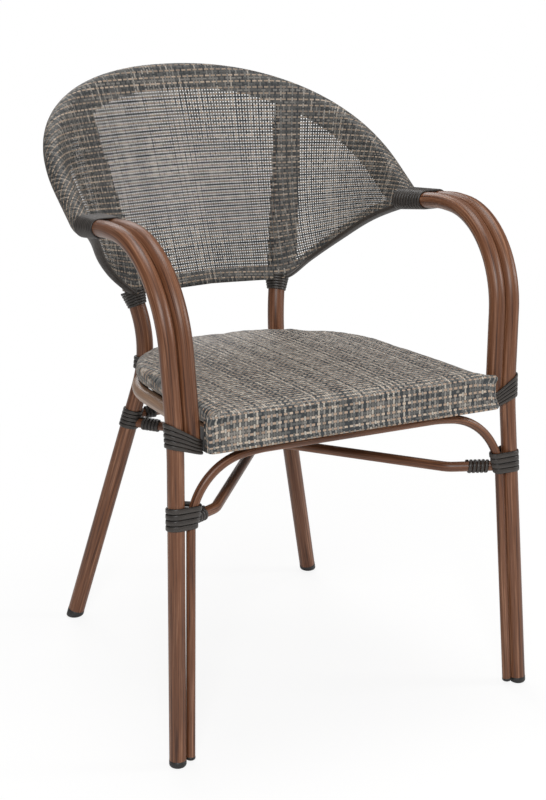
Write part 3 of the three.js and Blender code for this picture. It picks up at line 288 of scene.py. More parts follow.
def along_lengths(line):
    lengths = [0]
    for a, b in zip(line, line[1:]):
        lengths.append(lengths[-1] + (b - a).length)
    return lengths


def through_places(places, share):
    """A centripetal curve through the places, at a share of its spans."""
    last = len(places) - 1
    at = min(share, 1) * last
    i = min(int(at), last - 1)
    t = at - i
    a = places[i - 1] if i else places[0] * 2 - places[1]
    b, c = places[i], places[i + 1]
    d = places[i + 2] if i + 2 <= last else places[last] * 2 - places[last - 1]
    ab, bc, cd = (max((q - p).length ** 0.5, 1e-4) for p, q in ((a, b), (b, c), (c, d)))
    slope_b = ((b - a) / ab - (c - a) / (ab + bc) + (c - b) / bc) * bc
    slope_c = ((c - b) / bc - (d - b) / (bc + cd) + (d - c) / cd) * bc
    c2 = (c - b) * 3 - slope_b * 2 - slope_c
    c3 = (b - c) * 2 + slope_b + slope_c
    return b + slope_b * t + c2 * t ** 2 + c3 * t ** 3


# Routes of the tubes, left side

def tube_end(diameter, foot, above, height):
    """Middle of a raked tube's low end, whose lowest edge is at the given height."""
    lift = diameter / 2 * math.sin((above - foot).angle(Vector((0, 0, 1))))
    return up_line(foot, above, height + lift)


ARM_AXIS = (HOOP_CORNER - ARM_REST).normalized()
ARM_WRAP_START = to_depth(ARM_REST, HOOP_CORNER, ARM_WRAP_BACK)
ARM_WRAP_END = ARM_WRAP_START + ARM_AXIS * (ARM_WRAP_TURNS + 1) * ARM_WRAP_PITCH
ARM_JOINT = (ARM_WRAP_START + ARM_WRAP_END) / 2


def arm_route():
    low = tube_end(ARM_TUBE, FRONT_FOOT, WAIST, CAP_HEIGHT)
    return bent_line([low, WAIST, ARM_CORNER, ARM_REST, ARM_JOINT], ARM_RADII)


def inner_arm_route():
    line = [p for p in arm_route()[:-1] if p.z > SEAT_WRAP_HEIGHT]
    line.append(ARM_WRAP_END - ARM_AXIS * ARM_WRAP_PITCH)
    return [p + Vector((INNER_SPACING, 0, 0)) for p in line]


def on_hoop_face(across, up):
    bow = HOOP_BOW * math.sin(math.pi * up / (HOOP_STRAIGHT + HOOP_RISE))
    face = Matrix.Rotation(HOOP_LEAN, 3, "X") @ Vector((across, up, bow))
    return face + Vector((0, HOOP_CORNER.y, HOOP_CORNER.z))


def hoop_at(across):
    share = min(abs(across / HOOP_CORNER.x), 1)
    up = HOOP_RISE * (1 - share ** HOOP_FULLNESS) ** (1 / HOOP_FULLNESS)
    return on_hoop_face(across, HOOP_STRAIGHT + up)


def hoop_half():
    corners = [ARM_JOINT + ARM_AXIS * PIECE_GAP, HOOP_CORNER, on_hoop_face(HOOP_CORNER.x, HOOP_STRAIGHT)]
    line = bent_line(corners, [HOOP_BEND_RADIUS])
    straight = line.pop()
    start = line[-1]
    line += [start.lerp(straight, k / STRAIGHT_STEPS) for k in range(1, STRAIGHT_STEPS + 1)]
    for k in range(1, ARC_STEPS + 1):
        angle = math.pi / 2 * k / ARC_STEPS
        across = HOOP_CORNER.x * abs(math.cos(angle)) ** (2 / HOOP_FULLNESS)
        line.append(hoop_at(0 if k == ARC_STEPS else across))
    return line


POST_TOP = hoop_at(-POST_TOP_X)
POST_AXIS = (POST_TOP - BACK_KNEE).normalized()
BACK_AXIS = (BACK_KNEE - BACK_FOOT).normalized()


def back_leg_route():
    low = tube_end(BACK_TUBE, BACK_FOOT, BACK_KNEE, CAP_HEIGHT)
    return bent_line([low, BACK_KNEE, POST_TOP - POST_AXIS * ARM_TUBE * POST_END_SHARE], [KNEE_RADIUS])


def arch_half():
    low = tube_end(ARCH_TUBE, ARCH_FOOT, ARCH_CORNER, ARCH_FOOT_RISE + ARCH_CAP_HEIGHT)
    y = ARCH_CORNER.y
    crown = [Vector((-ARCH_CROWN_X, y, ARCH_CROWN_HEIGHT)), Vector((0, y, ARCH_CROWN_HEIGHT))]
    return bent_line([low, ARCH_CORNER, *crown], ARCH_RADII)


def stretcher_route():
    front = up_line(FRONT_FOOT, WAIST, STRETCHER_FRONT_HEIGHT)
    rear = mirrored(up_line(BACK_FOOT, BACK_KNEE, STRETCHER_REAR_HEIGHT))
    return bent_line([front, STRETCHER_BEND, rear], [STRETCHER_RADIUS])


def split_stretcher(through):
    """The other stretcher as two halves that end a little inside the one that runs through."""
    other = [mirrored(p) for p in through]
    rear = other[-1]
    crossing = other[-2].lerp(rear, other[-2].x / (other[-2].x - rear.x))
    reach = (rear - other[-2]).normalized() * (SLIM_TUBE / 2) * HALF_STRETCHER_SHARE
    return other[:-1] + [crossing - reach], [crossing + reach, rear]


def from_seat(place):
    """A place given from the middle of the front rail, on the tilted seat."""
    turned = Matrix.Rotation(-SEAT_TILT, 3, "X") @ place
    return turned + Vector((0, -RAIL_FORWARD, RAIL_HEIGHT))


def seat_plan(inset, front, steps=BEND_STEPS):
    corners = [
        Vector((-(SEAT_SIDE - inset), front, 0)),
        Vector((-(SEAT_BACK - inset), SEAT_DEPTH - inset, 0)),
        Vector((0, SEAT_DEPTH - inset, 0)),
    ]
    return both_halves(bent_line(corners, [SEAT_ROUNDING - inset], steps))


# Node helpers

def add(tree, kind, inputs=(), **settings):
    """Adds a node with its settings. Each input, by name or in order, gets a value or another's output."""
    node = tree.nodes.new(kind)
    for name, value in settings.items():
        setattr(node, name, value)
    for key, value in inputs.items() if isinstance(inputs, dict) else enumerate(inputs):
        source = value.outputs[0] if isinstance(value, bpy.types.Node) else value
        if isinstance(source, bpy.types.NodeSocket):
            tree.links.new(source, node.inputs[key])
        else:
            node.inputs[key].default_value = source
    return node


def linear(hex_colour):
    """An sRGB hex value as linear red, green, blue and alpha."""
    parts = [int(hex_colour[i : i + 2], 16) / 255 for i in (1, 3, 5)]
    return (*(c / 12.92 if c <= 0.04045 else ((c + 0.055) / 1.055) ** 2.4 for c in parts), 1)


def blank_material(name):
    material = bpy.data.materials.get(name)
    if material:
        return material, None, None
    material = bpy.data.materials.new(name)
    material.use_nodes = True
    tree = material.node_tree
    tree.nodes.clear()
    return material, tree, add(tree, "ShaderNodeOutputMaterial")


def with_stops(node, stops, interpolation="LINEAR"):
    """Sets a colour ramp's (place, hex colour) stops."""
    node.color_ramp.interpolation = interpolation
    elements = node.color_ramp.elements
    while len(elements) < len(stops):
        elements.new(0.5)
    for element, (place, colour) in zip(elements, stops):
        element.position = place
        element.color = linear(colour)
    return node


# Materials

WEAVE_CELL = (3.97, 4.3)
OPEN_YARNS = (0.29, 0.3)
FULL_YARNS = (0.4, 0.39)
WARP_TURN = 0.5
WEFT_TURN = 1.5
OWN_TONE_SHARE = 0.55

# Lengths and widths of the printed grain and of the strip's ribs, in millimetres
FINE_GRAIN = (70, 1.1, 1.1)
BROAD_GRAIN = (190, 4.2, 4.2)
VEIN_GRAIN = (240, 2.4, 2.4)
STRIP_FIBRE = (30, 0.8, 0.8)
# Near-black tone of the painted shade at the strips' edges, where the laps meet
EDGE_SHADE_TONE = "#0b0a09"
MATH = "ShaderNodeMath"


def scaled_place(tree, name, scales):
    """The piece's own attribute in metres, divided by real sizes in millimetres."""
    place = add(tree, "ShaderNodeAttribute", attribute_name=name).outputs["Vector"]
    return add(tree, "ShaderNodeVectorMath", (place, [1 / (MM * s) for s in scales]), operation="MULTIPLY")


def wood_grain_tube(name, dark, middle, light):
    """Powder-coated aluminium with a baked-on printed grain: satin, with long dark streaks along the tube."""
    material, tree, output = blank_material(name)
    if tree is None:
        return material
    fine = add(tree, "ShaderNodeTexNoise",
               {"Vector": scaled_place(tree, "along", FINE_GRAIN), "Scale": 1, "Detail": 3, "Roughness": 0.6})
    broad = add(tree, "ShaderNodeTexNoise",
                {"Vector": scaled_place(tree, "along", BROAD_GRAIN), "Scale": 1, "Detail": 2,
                 "Roughness": 0.5, "Distortion": 0.3})
    half_fine = add(tree, MATH, (fine, 0.5), operation="MULTIPLY")
    half_broad = add(tree, MATH, (broad, 0.5), operation="MULTIPLY")
    grain = add(tree, MATH, (half_fine, half_broad), operation="ADD")
    stops = ((0.37, dark), (0.47, middle), (0.53, middle), (0.63, light))
    streaks = with_stops(add(tree, "ShaderNodeValToRGB", (grain,)), stops)
    vein = add(tree, "ShaderNodeTexNoise",
               {"Vector": scaled_place(tree, "along", VEIN_GRAIN), "Scale": 1, "Detail": 1})
    vein = add(tree, "ShaderNodeMapRange", {"Value": vein, "From Min": 0.54, "From Max": 0.64})
    vein = add(tree, MATH, (vein, 0.45), operation="MULTIPLY")
    colour = add(tree, "ShaderNodeMix", {0: vein, 6: streaks, 7: linear(dark)}, data_type="RGBA").outputs[2]
    bump = add(tree, "ShaderNodeBump", {"Strength": 0.1, "Distance": 0.3 * MM, "Height": fine})
    rough = add(tree, MATH, (fine, 0.2, 0.3), operation="MULTIPLY_ADD")
    shader = add(tree, "ShaderNodeBsdfPrincipled",
                 {"Base Color": colour, "Roughness": rough, "IOR": 1.45, "Normal": bump})
    tree.links.new(shader.outputs[0], output.inputs[0])
    return material


def flat_strip(name, dark, light):
    """Extruded soft PVC strip: matt, with fine ribs along it; painted shade darkens both edges of the strip
    towards near black where the laps meet.
    """
    material, tree, output = blank_material(name)
    if tree is None:
        return material
    along = scaled_place(tree, "along", STRIP_FIBRE)
    fibres = add(tree, "ShaderNodeTexNoise", {"Vector": along, "Scale": 1, "Detail": 3, "Roughness": 0.6})
    fibre_tone = with_stops(add(tree, "ShaderNodeValToRGB", (fibres,)), ((0.3, dark), (0.7, light)))
    # Painted shade: the colour darkens towards near black over the outer fifth of the strip's width on each
    # side.
    own = add(tree, "ShaderNodeAttribute", attribute_name="along").outputs["Vector"]
    edge = add(tree, "ShaderNodeSeparateXYZ", (own,)).outputs[2]
    edge = add(tree, MATH, (edge,), operation="ABSOLUTE")
    edge_shade = add(tree, "ShaderNodeMapRange", {"Value": edge, "From Min": 0.3 * MM, "From Max": 0.5 * MM})
    edge_shade = add(tree, MATH, (edge_shade, 0.85), operation="MULTIPLY")
    tones = {0: edge_shade, 6: fibre_tone, 7: linear(EDGE_SHADE_TONE)}
    colour = add(tree, "ShaderNodeMix", tones, data_type="RGBA").outputs[2]
    bump = add(tree, "ShaderNodeBump", {"Strength": 0.25, "Distance": 0.3 * MM, "Height": fibres})
    shader = add(tree, "ShaderNodeBsdfPrincipled",
                 {"Base Color": colour, "Roughness": 0.45, "IOR": 1.5, "Normal": bump})
    tree.links.new(shader.outputs[0], output.inputs[0])
    return material


def moulded(name, dark, light, roughness, grit_mm, metallic=0.0):
    """Moulded or sheet stock with a fine even grit on Object coordinates."""
    material, tree, output = blank_material(name)
    if tree is None:
        return material
    place = add(tree, "ShaderNodeTexCoord").outputs["Object"]
    grit = add(tree, "ShaderNodeTexNoise",
               {"Vector": place, "Scale": 1 / (MM * grit_mm), "Detail": 3, "Roughness": 0.6})
    colour = with_stops(add(tree, "ShaderNodeValToRGB", (grit,)), ((0.3, dark), (0.7, light)))
    bump = add(tree, "ShaderNodeBump", {"Strength": 0.15, "Distance": 0.2 * MM, "Height": grit})
    shader = add(tree, "ShaderNodeBsdfPrincipled",
                 {"Base Color": colour, "Roughness": roughness, "Metallic": metallic, "Normal": bump})
    tree.links.new(shader.outputs[0], output.inputs[0])
    return material


def yarn_shade(tree, index, along, turn, stops, seed):
    """Colour of a yarn from its own number and from each dash of it that shows between two crossings."""
    number = add(tree, MATH, (index, seed), operation="ADD")
    own = add(tree, "ShaderNodeTexWhiteNoise", {"W": number}, noise_dimensions="1D")
    past = add(tree, MATH, (along, index), operation="SUBTRACT")
    past = add(tree, MATH, (past, turn), operation="SUBTRACT")
    dash = add(tree, MATH, (past, 0.5), operation="MULTIPLY")
    dash = add(tree, MATH, (dash,), operation="FLOOR")
    where = add(tree, "ShaderNodeCombineXYZ", (number, dash))
    each = add(tree, "ShaderNodeTexWhiteNoise", {"Vector": where}, noise_dimensions="2D")
    own_part = add(tree, MATH, (own, OWN_TONE_SHARE), operation="MULTIPLY")
    dash_part = add(tree, MATH, (each, 1 - OWN_TONE_SHARE), operation="MULTIPLY")
    tone = add(tree, MATH, (own_part, dash_part), operation="ADD")
    return with_stops(add(tree, "ShaderNodeValToRGB", (tone,)), stops, "CONSTANT")


def from_middle(tree, place):
    """How far a place lies from the middle line of its cell, in cells."""
    inside = add(tree, MATH, (place,), operation="FRACT")
    off = add(tree, MATH, (inside, 0.5), operation="SUBTRACT")
    return add(tree, MATH, (off,), operation="ABSOLUTE")


def yarn_crown(tree, off, half, seen):
    """Height of a yarn's rounded back, where the yarn is seen."""
    share = add(tree, MATH, (off, half), operation="DIVIDE")
    fall = add(tree, MATH, (share, 2), operation="POWER")
    height = add(tree, MATH, (1, fall), operation="SUBTRACT")
    return add(tree, MATH, (seen, height), operation="MULTIPLY")


def plain_weave(tree, across, down, column, row, halves):
    """Where the weft is seen over the warp, how high the yarns stand, and where neither of them lies."""
    off_warp, off_weft = from_middle(tree, across), from_middle(tree, down)
    on_warp = add(tree, MATH, (off_warp, halves[0]), operation="LESS_THAN")
    on_weft = add(tree, MATH, (off_weft, halves[1]), operation="LESS_THAN")
    both = add(tree, MATH, (column, row), operation="ADD")
    odd = add(tree, MATH, (both, 2), operation="FLOORED_MODULO")
    odd = add(tree, MATH, (odd, 0.5), operation="GREATER_THAN")
    warp_over = add(tree, MATH, (on_warp, odd), operation="MULTIPLY")
    weft_free = add(tree, MATH, (1, warp_over), operation="SUBTRACT")
    weft_seen = add(tree, MATH, (on_weft, weft_free), operation="MULTIPLY")
    warp_free = add(tree, MATH, (1, weft_seen), operation="SUBTRACT")
    warp_seen = add(tree, MATH, (on_warp, warp_free), operation="MULTIPLY")
    weft_crown = yarn_crown(tree, off_weft, halves[1], weft_seen)
    warp_crown = yarn_crown(tree, off_warp, halves[0], warp_seen)
    height = add(tree, MATH, (weft_crown, warp_crown), operation="ADD")
    covered = add(tree, MATH, (on_warp, on_weft), operation="MAXIMUM")
    return weft_seen, height, add(tree, MATH, (1, covered), operation="SUBTRACT")


def woven_yarn(name, halves, tones, gap_shade_tone, open_weave):
    """PVC-coated polyester yarn in a plain weave: beige and charcoal weft over grey and navy warp, with holes
    at the corners of its cells that let the light through where the cloth is single. Painted shade darkens
    each yarn towards its edges and colours the holes that don't let light through."""
    material, tree, output = blank_material(name)
    if tree is None:
        return material
    split = add(tree, "ShaderNodeSeparateXYZ", (scaled_place(tree, "weave", (*WEAVE_CELL, 1)),))
    across, down = split.outputs[0], split.outputs[1]
    column = add(tree, MATH, (across,), operation="FLOOR")
    row = add(tree, MATH, (down,), operation="FLOOR")
    weft_seen, height, hole = plain_weave(tree, across, down, column, row, halves)
    warp = yarn_shade(tree, column, down, WARP_TURN, tones[0], 3)
    pale = yarn_shade(tree, row, across, WEFT_TURN, tones[1], 11)
    dark = yarn_shade(tree, row, across, WEFT_TURN, tones[2], 29)
    even = add(tree, MATH, (row, 2), operation="FLOORED_MODULO")
    weft = add(tree, "ShaderNodeMix", {0: even, 6: pale, 7: dark}, data_type="RGBA").outputs[2]
    yarn = add(tree, "ShaderNodeMix", {0: weft_seen, 6: warp, 7: weft}, data_type="RGBA").outputs[2]
    # Painted shade: the colour falls towards the dark gap tone as each yarn's rounded back falls away, and is
    # that tone in the holes.
    low = add(tree, MATH, (1, height), operation="SUBTRACT")
    gap_shade = add(tree, MATH, (low, 2), operation="POWER")
    colour = add(tree, "ShaderNodeMix", {0: gap_shade, 6: yarn, 7: linear(gap_shade_tone)}, data_type="RGBA").outputs[2]
    bump = add(tree, "ShaderNodeBump", {"Strength": 0.5, "Distance": 0.6 * MM, "Height": height})
    shader = add(tree, "ShaderNodeBsdfPrincipled",
                 {"Base Color": colour, "Roughness": 0.6, "IOR": 1.5, "Normal": bump})
    if open_weave:
        lone = add(tree, "ShaderNodeAttribute", attribute_name="single").outputs["Fac"]
        lone = add(tree, MATH, (lone, 0), operation="GREATER_THAN")
        clear = add(tree, MATH, (hole, lone), operation="MULTIPLY")
        through = add(tree, "ShaderNodeBsdfTransparent")
        shader = add(tree, "ShaderNodeMixShader", (clear, shader, through))
    tree.links.new(shader.outputs[0], output.inputs[0])
    return material


def tube_finish():
    look = bpy.context.scene.chair_looks
    return wood_grain_tube("wood_grain_powder_coat", look.tube_dark, look.tube_middle, look.tube_light)


def rail_finish():
    return wood_grain_tube("pale_grain_powder_coat", "#664d3b", "#8a6c55", "#a98c74")


def strip_finish():
    look = bpy.context.scene.chair_looks
    return flat_strip("charcoal_pvc_strip", look.strip_dark, look.strip_light)


def seat_cloth():
    tones = (
        ((0, "#2a3034"), (0.3, "#62605c"), (0.5, "#85817b"), (0.72, "#aea79c")),
        ((0, "#95816f"), (0.35, "#a8927f"), (0.65, "#bcab99")),
        ((0, "#2e3437"), (0.32, "#555655"), (0.58, "#7c7872")),
    )
    # The near-black last tone is painted shade in the gaps between the yarns and in the holes.
    return woven_yarn("padded_pvc_yarn_weave", FULL_YARNS, tones, "#1f2123", False)


def back_cloth():
    # The seat's yarn colours made about a fifth darker: painted shade on the upright back. The last tone is
    # painted shade in the gaps between the yarns and in the holes of the doubled cloth.
    tones = (
        ((0, "#171b1e"), (0.36, "#454441"), (0.54, "#6b6863"), (0.74, "#908980")),
        ((0, "#76675a"), (0.35, "#8a7968"), (0.65, "#a08f7e")),
        ((0, "#23282a"), (0.35, "#434443"), (0.62, "#696661")),
    )
    return woven_yarn("open_pvc_yarn_weave", OPEN_YARNS, tones, "#3a3836", True)


# Mesh helpers

def new_piece(name, mesh, nodes, materials=()):
    """A finished piece: shaded, named, riding on the chair, standing for its CAD nodes."""
    mesh.name = name
    piece = bpy.data.objects.new(name, mesh)
    bpy.context.scene.collection.objects.link(piece)
    if materials:
        mesh.materials.clear()
    for material in materials:
        mesh.materials.append(material)
    mesh.shade_smooth()
    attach(piece, BODY)
    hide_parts(*nodes)
    return piece


def mesh_from_rings(rings, name, closed_ends=True, closed_rings=True):
    """A mesh through rings of points with the same count."""
    count = len(rings[0])
    mesh = bpy.data.meshes.new(name)
    points = [in_frame(p) for ring in rings for p in ring]
    faces = []
    spans = count if closed_rings else count - 1
    for r in range(len(rings) - 1):
        for i in range(spans):
            a, b = r * count + i, r * count + (i + 1) % count
            faces.append((a, b, b + count, a + count))
    if closed_ends:
        faces.append(tuple(reversed(range(count))))
        faces.append(tuple(range((len(rings) - 1) * count, len(rings) * count)))
    mesh.from_pydata(points, [], faces)
    mesh.update()
    return mesh


def outwards(mesh, merge=True):
    """Turns all faces of a closed mesh outwards, after merging its doubles unless that is left out."""
    work = bmesh.new()
    work.from_mesh(mesh)
    if merge:
        bmesh.ops.remove_doubles(work, verts=work.verts, dist=1e-6)
    bmesh.ops.recalc_face_normals(work, faces=work.faces)
    work.to_mesh(mesh)
    work.free()
    return mesh


def store_vectors(mesh, name, vectors):
    layer = mesh.attributes.new(name, "FLOAT_VECTOR", "POINT")
    layer.data.foreach_set("vector", [c for v in vectors for c in v])


def mirror_mesh(mesh):
    """The right-hand copy of a left-hand mesh, with its faces turned back outwards."""
    copy = mesh.copy()
    copy.transform(Matrix.Diagonal((-1, 1, 1, 1)))
    copy.flip_normals()
    return copy


# Tubes, swept along their routes by one node tree

TUBE_TREE = "round tube along a route"
TUBE_PORTS = (
    ("Route", "INPUT", "NodeSocketGeometry"),
    ("Radius", "INPUT", "NodeSocketFloat"),
    ("Sides", "INPUT", "NodeSocketInt"),
    ("Finish", "INPUT", "NodeSocketMaterial"),
    ("Tube", "OUTPUT", "NodeSocketGeometry"),
)
TUBE_SIDES = 36


def tube_tree():
    """Node tree that sweeps a round tube along a line and notes how far along and round it each point is."""
    tree = bpy.data.node_groups.get(TUBE_TREE)
    if tree:
        return tree
    tree = bpy.data.node_groups.new(TUBE_TREE, "GeometryNodeTree")
    for name, side, kind in TUBE_PORTS:
        tree.interface.new_socket(name, in_out=side, socket_type=kind)
    inputs = add(tree, "NodeGroupInput")
    route = add(tree, "GeometryNodeMeshToCurve", (inputs.outputs["Route"],))
    keep_length = add(tree, "GeometryNodeCaptureAttribute")
    keep_length.capture_items.new("FLOAT", "Length")
    tree.links.new(route.outputs[0], keep_length.inputs[0])
    tree.links.new(add(tree, "GeometryNodeSplineParameter").outputs["Length"], keep_length.inputs[1])
    circle = add(tree, "GeometryNodeCurvePrimitiveCircle",
                 {"Resolution": inputs.outputs["Sides"], "Radius": inputs.outputs["Radius"]})
    keep_round = add(tree, "GeometryNodeCaptureAttribute")
    keep_round.capture_items.new("VECTOR", "Round")
    tree.links.new(circle.outputs[0], keep_round.inputs[0])
    tree.links.new(add(tree, "GeometryNodeInputPosition").outputs[0], keep_round.inputs[1])
    sweep = add(tree, "GeometryNodeCurveToMesh",
                {"Curve": keep_length, "Profile Curve": keep_round, "Fill Caps": True})
    around = add(tree, "ShaderNodeSeparateXYZ", (keep_round.outputs[1],))
    along = add(tree, "ShaderNodeCombineXYZ", (keep_length.outputs[1], around.outputs[0], around.outputs[1]))
    store = add(tree, "GeometryNodeStoreNamedAttribute", {"Geometry": sweep, "Name": "along", "Value": along},
                data_type="FLOAT_VECTOR", domain="POINT")
    real = add(tree, "GeometryNodeRealizeInstances", (store,))
    finish = add(tree, "GeometryNodeSetMaterial", {"Geometry": real, "Material": inputs.outputs["Finish"]})
    add(tree, "NodeGroupOutput", (finish,))
    return tree


def swept_tube(name, line, diameter, finish):
    """The tube of one route as a plain mesh, its node modifier already applied."""
    route = bpy.data.meshes.new(name + "_route")
    route.from_pydata([in_frame(p) for p in line], [(i, i + 1) for i in range(len(line) - 1)], [])
    helper = bpy.data.objects.new(name + "_route", route)
    bpy.context.scene.collection.objects.link(helper)
    modifier = helper.modifiers.new("tube", "NODES")
    modifier.node_group = tube_tree()
    values = {"Radius": diameter * MM / 2, "Sides": TUBE_SIDES, "Finish": finish}
    for item in modifier.node_group.interface.items_tree:
        if item.in_out == "INPUT" and item.name in values:
            modifier[item.identifier] = values[item.name]
    evaluated = helper.evaluated_get(bpy.context.evaluated_depsgraph_get())
    mesh = bpy.data.meshes.new_from_object(evaluated)
    bpy.data.objects.remove(helper)
    bpy.data.meshes.remove(route)
    return mesh


def tube_piece(name, line, diameter, nodes, finish):
    return new_piece(name, swept_tube(name, line, diameter, finish), nodes)


def tube_pair(name, line, diameter, finish):
    for side, route in (("left", line), ("right", [mirrored(p) for p in line])):
        node = name + "_" + side
        tube_piece(node + "_look", route, diameter, [node], finish)


# Wound strips

def lap_outline(first, second, spacing, steps):
    """Places and outward directions of one lap round one tube, or round two side by side."""
    if not spacing:
        angles = [2 * math.pi * i / steps for i in range(steps)]
        outs = [Vector((math.cos(a), math.sin(a))) for a in angles]
        return [(out * first, out) for out in outs]
    lean = math.acos((first - second) / spacing)
    lap = []
    straight = int(steps / 6)
    arc = int(steps / 3)
    rounds = ((lean, 2 * math.pi - 2 * lean, 0, first), (-lean, 2 * lean, spacing, second))
    for start, sweep, centre, radius in rounds:
        for i in range(arc):
            out = Vector((math.cos(start + sweep * i / (arc - 1)), math.sin(start + sweep * i / (arc - 1))))
            lap.append((out * radius + Vector((centre, 0)), out))
        other = rounds[1] if centre == 0 else rounds[0]
        end = lap[-1]
        target = Vector((math.cos(other[0]), math.sin(other[0]))) * other[3] + Vector((other[2], 0))
        for i in range(1, straight):
            lap.append((end[0].lerp(target, i / straight), end[1]))
    return lap


STRIP_STEPS = 8
INWARDS = Vector((1, 0, 0))
BACKWARDS = Vector((0, 1, 0))
UPWARDS = Vector((0, 0, 1))

# What a winding has where its plan doesn't say otherwise: "level" is how much of the climb is taken away
# where each lap passes its share "front"
PLAIN_STRIP = {
    "second": 0,
    "spacing": 0,
    "spacing_growth": 0,
    "steps": 36,
    "thickness": 2.4,
    "gap": 0.35,
    "roundness": 4,
    "slant": 0,
    "slant_growth": 0,
    "spread": 0,
    "level": 0,
    "front": 0.75,
}


def strip_section(roundness):
    """Half of a rounded bar across a strip: a bead at 2, flatter with rounded edges above it."""
    section = []
    for k in range(STRIP_STEPS + 1):
        angle = math.pi * k / STRIP_STEPS
        across, up = -math.cos(angle), math.sin(angle)
        section.append((math.copysign(abs(across) ** (2 / roundness), across) / 2, up ** (2 / roundness)))
    return section


def strip_directions(plan):
    """Along the winding's axis, across to the second tube, and square to both."""
    axis = plan["axis"].normalized()
    side = (plan["across"] - axis * plan["across"].dot(axis)).normalized()
    return axis, side, axis.cross(side)


def strip_station(plan, laps, index, count):
    """Middle of the strip at one step of its winding, the outward direction and the strip's width there."""
    axis, side, third = strip_directions(plan)
    turn = index / count
    share = index / (plan["turns"] * count)
    spacing = plan["spacing"] + plan["spacing_growth"] * share
    key = round(spacing, 3)
    if key not in laps:
        radii = (plan["first"] + STRIP_CLEARANCE, plan["second"] + STRIP_CLEARANCE)
        laps[key] = lap_outline(*radii, spacing, plan["steps"])
    place, out = laps[key][index % count]
    width = plan["pitch"] + plan["slant_growth"] * place.x / plan["turns"] - plan["gap"]
    eased = plan["level"] * math.sin(2 * math.pi * (turn - plan["front"])) / (2 * math.pi)
    rise = plan["pitch"] * (0.5 + turn - eased) + (plan["slant"] + plan["slant_growth"] * share) * place.x
    outward = side * out.x + third * out.y
    middle = plan["start"] + axis * rise + side * place.x + third * place.y + outward * plan["spread"] * share
    return middle, outward, width


def wound_strip(plan):
    """A flat strip wound round its tubes, one unbroken band with a rounded crown."""
    plan = PLAIN_STRIP | plan
    axis = strip_directions(plan)[0]
    section = strip_section(plan["roundness"])
    count = len(lap_outline(plan["first"], plan["second"], plan["spacing"], plan["steps"]))
    laps, rings, places = {}, [], []
    travelled = 0
    previous = None
    for index in range(plan["turns"] * count + 1):
        middle, outward, width = strip_station(plan, laps, index, count)
        travelled += (middle - previous).length if previous else 0
        previous = middle
        rings.append([middle + axis * (width * a) + outward * (plan["thickness"] * h) for a, h in section])
        places += [(travelled * MM, width * a * MM, a * MM) for a, h in section]
    mesh = mesh_from_rings(rings, "strip")
    store_vectors(mesh, "along", places)
    return outwards(mesh, merge=False)


def strip_pair(name, plan):
    mesh = wound_strip(plan)
    finish = strip_finish()
    new_piece(name + "_left_look", mesh, [name + "_left"], [finish])
    new_piece(name + "_right_look", mirror_mesh(mesh), [name + "_right"], [finish])


def front_strip_plans():
    """Windings of the arm, the seat joint and the joint of the front leg and the arch."""
    leg, arch_line = arm_route(), arch_half()

    def leg_to_arch(height):
        return at_height(arch_line, height) - up_line(FRONT_FOOT, WAIST, height)

    low, top = LOWER_WRAP_HEIGHT, LOWER_WRAP_HEIGHT + (LOWER_WRAP_TURNS + 1) * JOINT_PITCH
    seat_start = at_height(leg, SEAT_WRAP_HEIGHT)
    seat_end = at_height(leg, SEAT_WRAP_HEIGHT + (SEAT_WRAP_TURNS + 1) * SEAT_WRAP_PITCH)
    return {
        "arm_wrap": {
            "start": ARM_WRAP_START, "axis": ARM_AXIS, "across": INWARDS,
            "first": ARM_TUBE / 2, "second": ARM_TUBE / 2, "spacing": INNER_SPACING, "steps": PAIR_STEPS,
            "turns": ARM_STRIP_TURNS, "pitch": ARM_STRIP_PITCH,
            "thickness": 2.7, "gap": 0.6, "roundness": 2, "spread": 1.6,
        },
        "seat_joint_wrap": {
            "start": seat_start + UPWARDS * SEAT_WRAP_LIFT, "axis": seat_end - seat_start, "across": INWARDS,
            "first": ARM_TUBE / 2, "second": ARM_TUBE / 2, "spacing": INNER_SPACING, "steps": PAIR_STEPS,
            "turns": SEAT_WRAP_TURNS, "pitch": SEAT_STRIP_PITCH,
            "slant": -0.38, "slant_growth": -0.3,
        },
        "lower_joint_wrap": {
            "start": up_line(FRONT_FOOT, WAIST, low), "axis": WAIST - FRONT_FOOT, "across": leg_to_arch(low),
            "first": ARM_TUBE / 2, "second": ARCH_TUBE / 2, "steps": PAIR_STEPS,
            "spacing": leg_to_arch(low).length,
            "spacing_growth": leg_to_arch(top).length - leg_to_arch(low).length,
            "turns": LOWER_WRAP_TURNS, "pitch": JOINT_PITCH,
            "thickness": 2.1, "level": 0.8, "front": 0.42,
        },
    }


def rear_strip_plans():
    """Windings of the back leg, of the seat's tie and at the foot of the cloth on the post."""
    rear = back_leg_route()
    tie_start = at_height(rear, TIE_WRAP_HEIGHT)
    tie_end = at_height(rear, TIE_WRAP_HEIGHT + (TIE_WRAP_TURNS + 1) * TIE_WRAP_PITCH)
    foot_level = post_foot().z - POST_WRAP_BELOW_EDGE
    return {
        "back_leg_wrap": {
            "start": up_line(BACK_FOOT, BACK_KNEE, LEG_WRAP_HEIGHT), "axis": BACK_AXIS, "across": BACKWARDS,
            "first": BACK_TUBE / 2, "turns": LEG_WRAP_TURNS, "pitch": LEG_WRAP_PITCH,
        },
        "seat_tie_wrap": {
            "start": tie_start, "axis": tie_end - tie_start, "across": BACKWARDS,
            "first": BACK_TUBE / 2 + TIE_CLEARANCE, "turns": TIE_WRAP_TURNS, "pitch": TIE_WRAP_PITCH,
        },
        "post_foot_wrap": {
            "start": up_line(BACK_KNEE, POST_TOP, foot_level), "axis": POST_AXIS, "across": BACKWARDS,
            "first": BACK_TUBE / 2, "turns": POST_WRAP_TURNS, "pitch": POST_WRAP_PITCH,
            "thickness": 1.7, "gap": 0.1, "spread": 5,
        },
    }


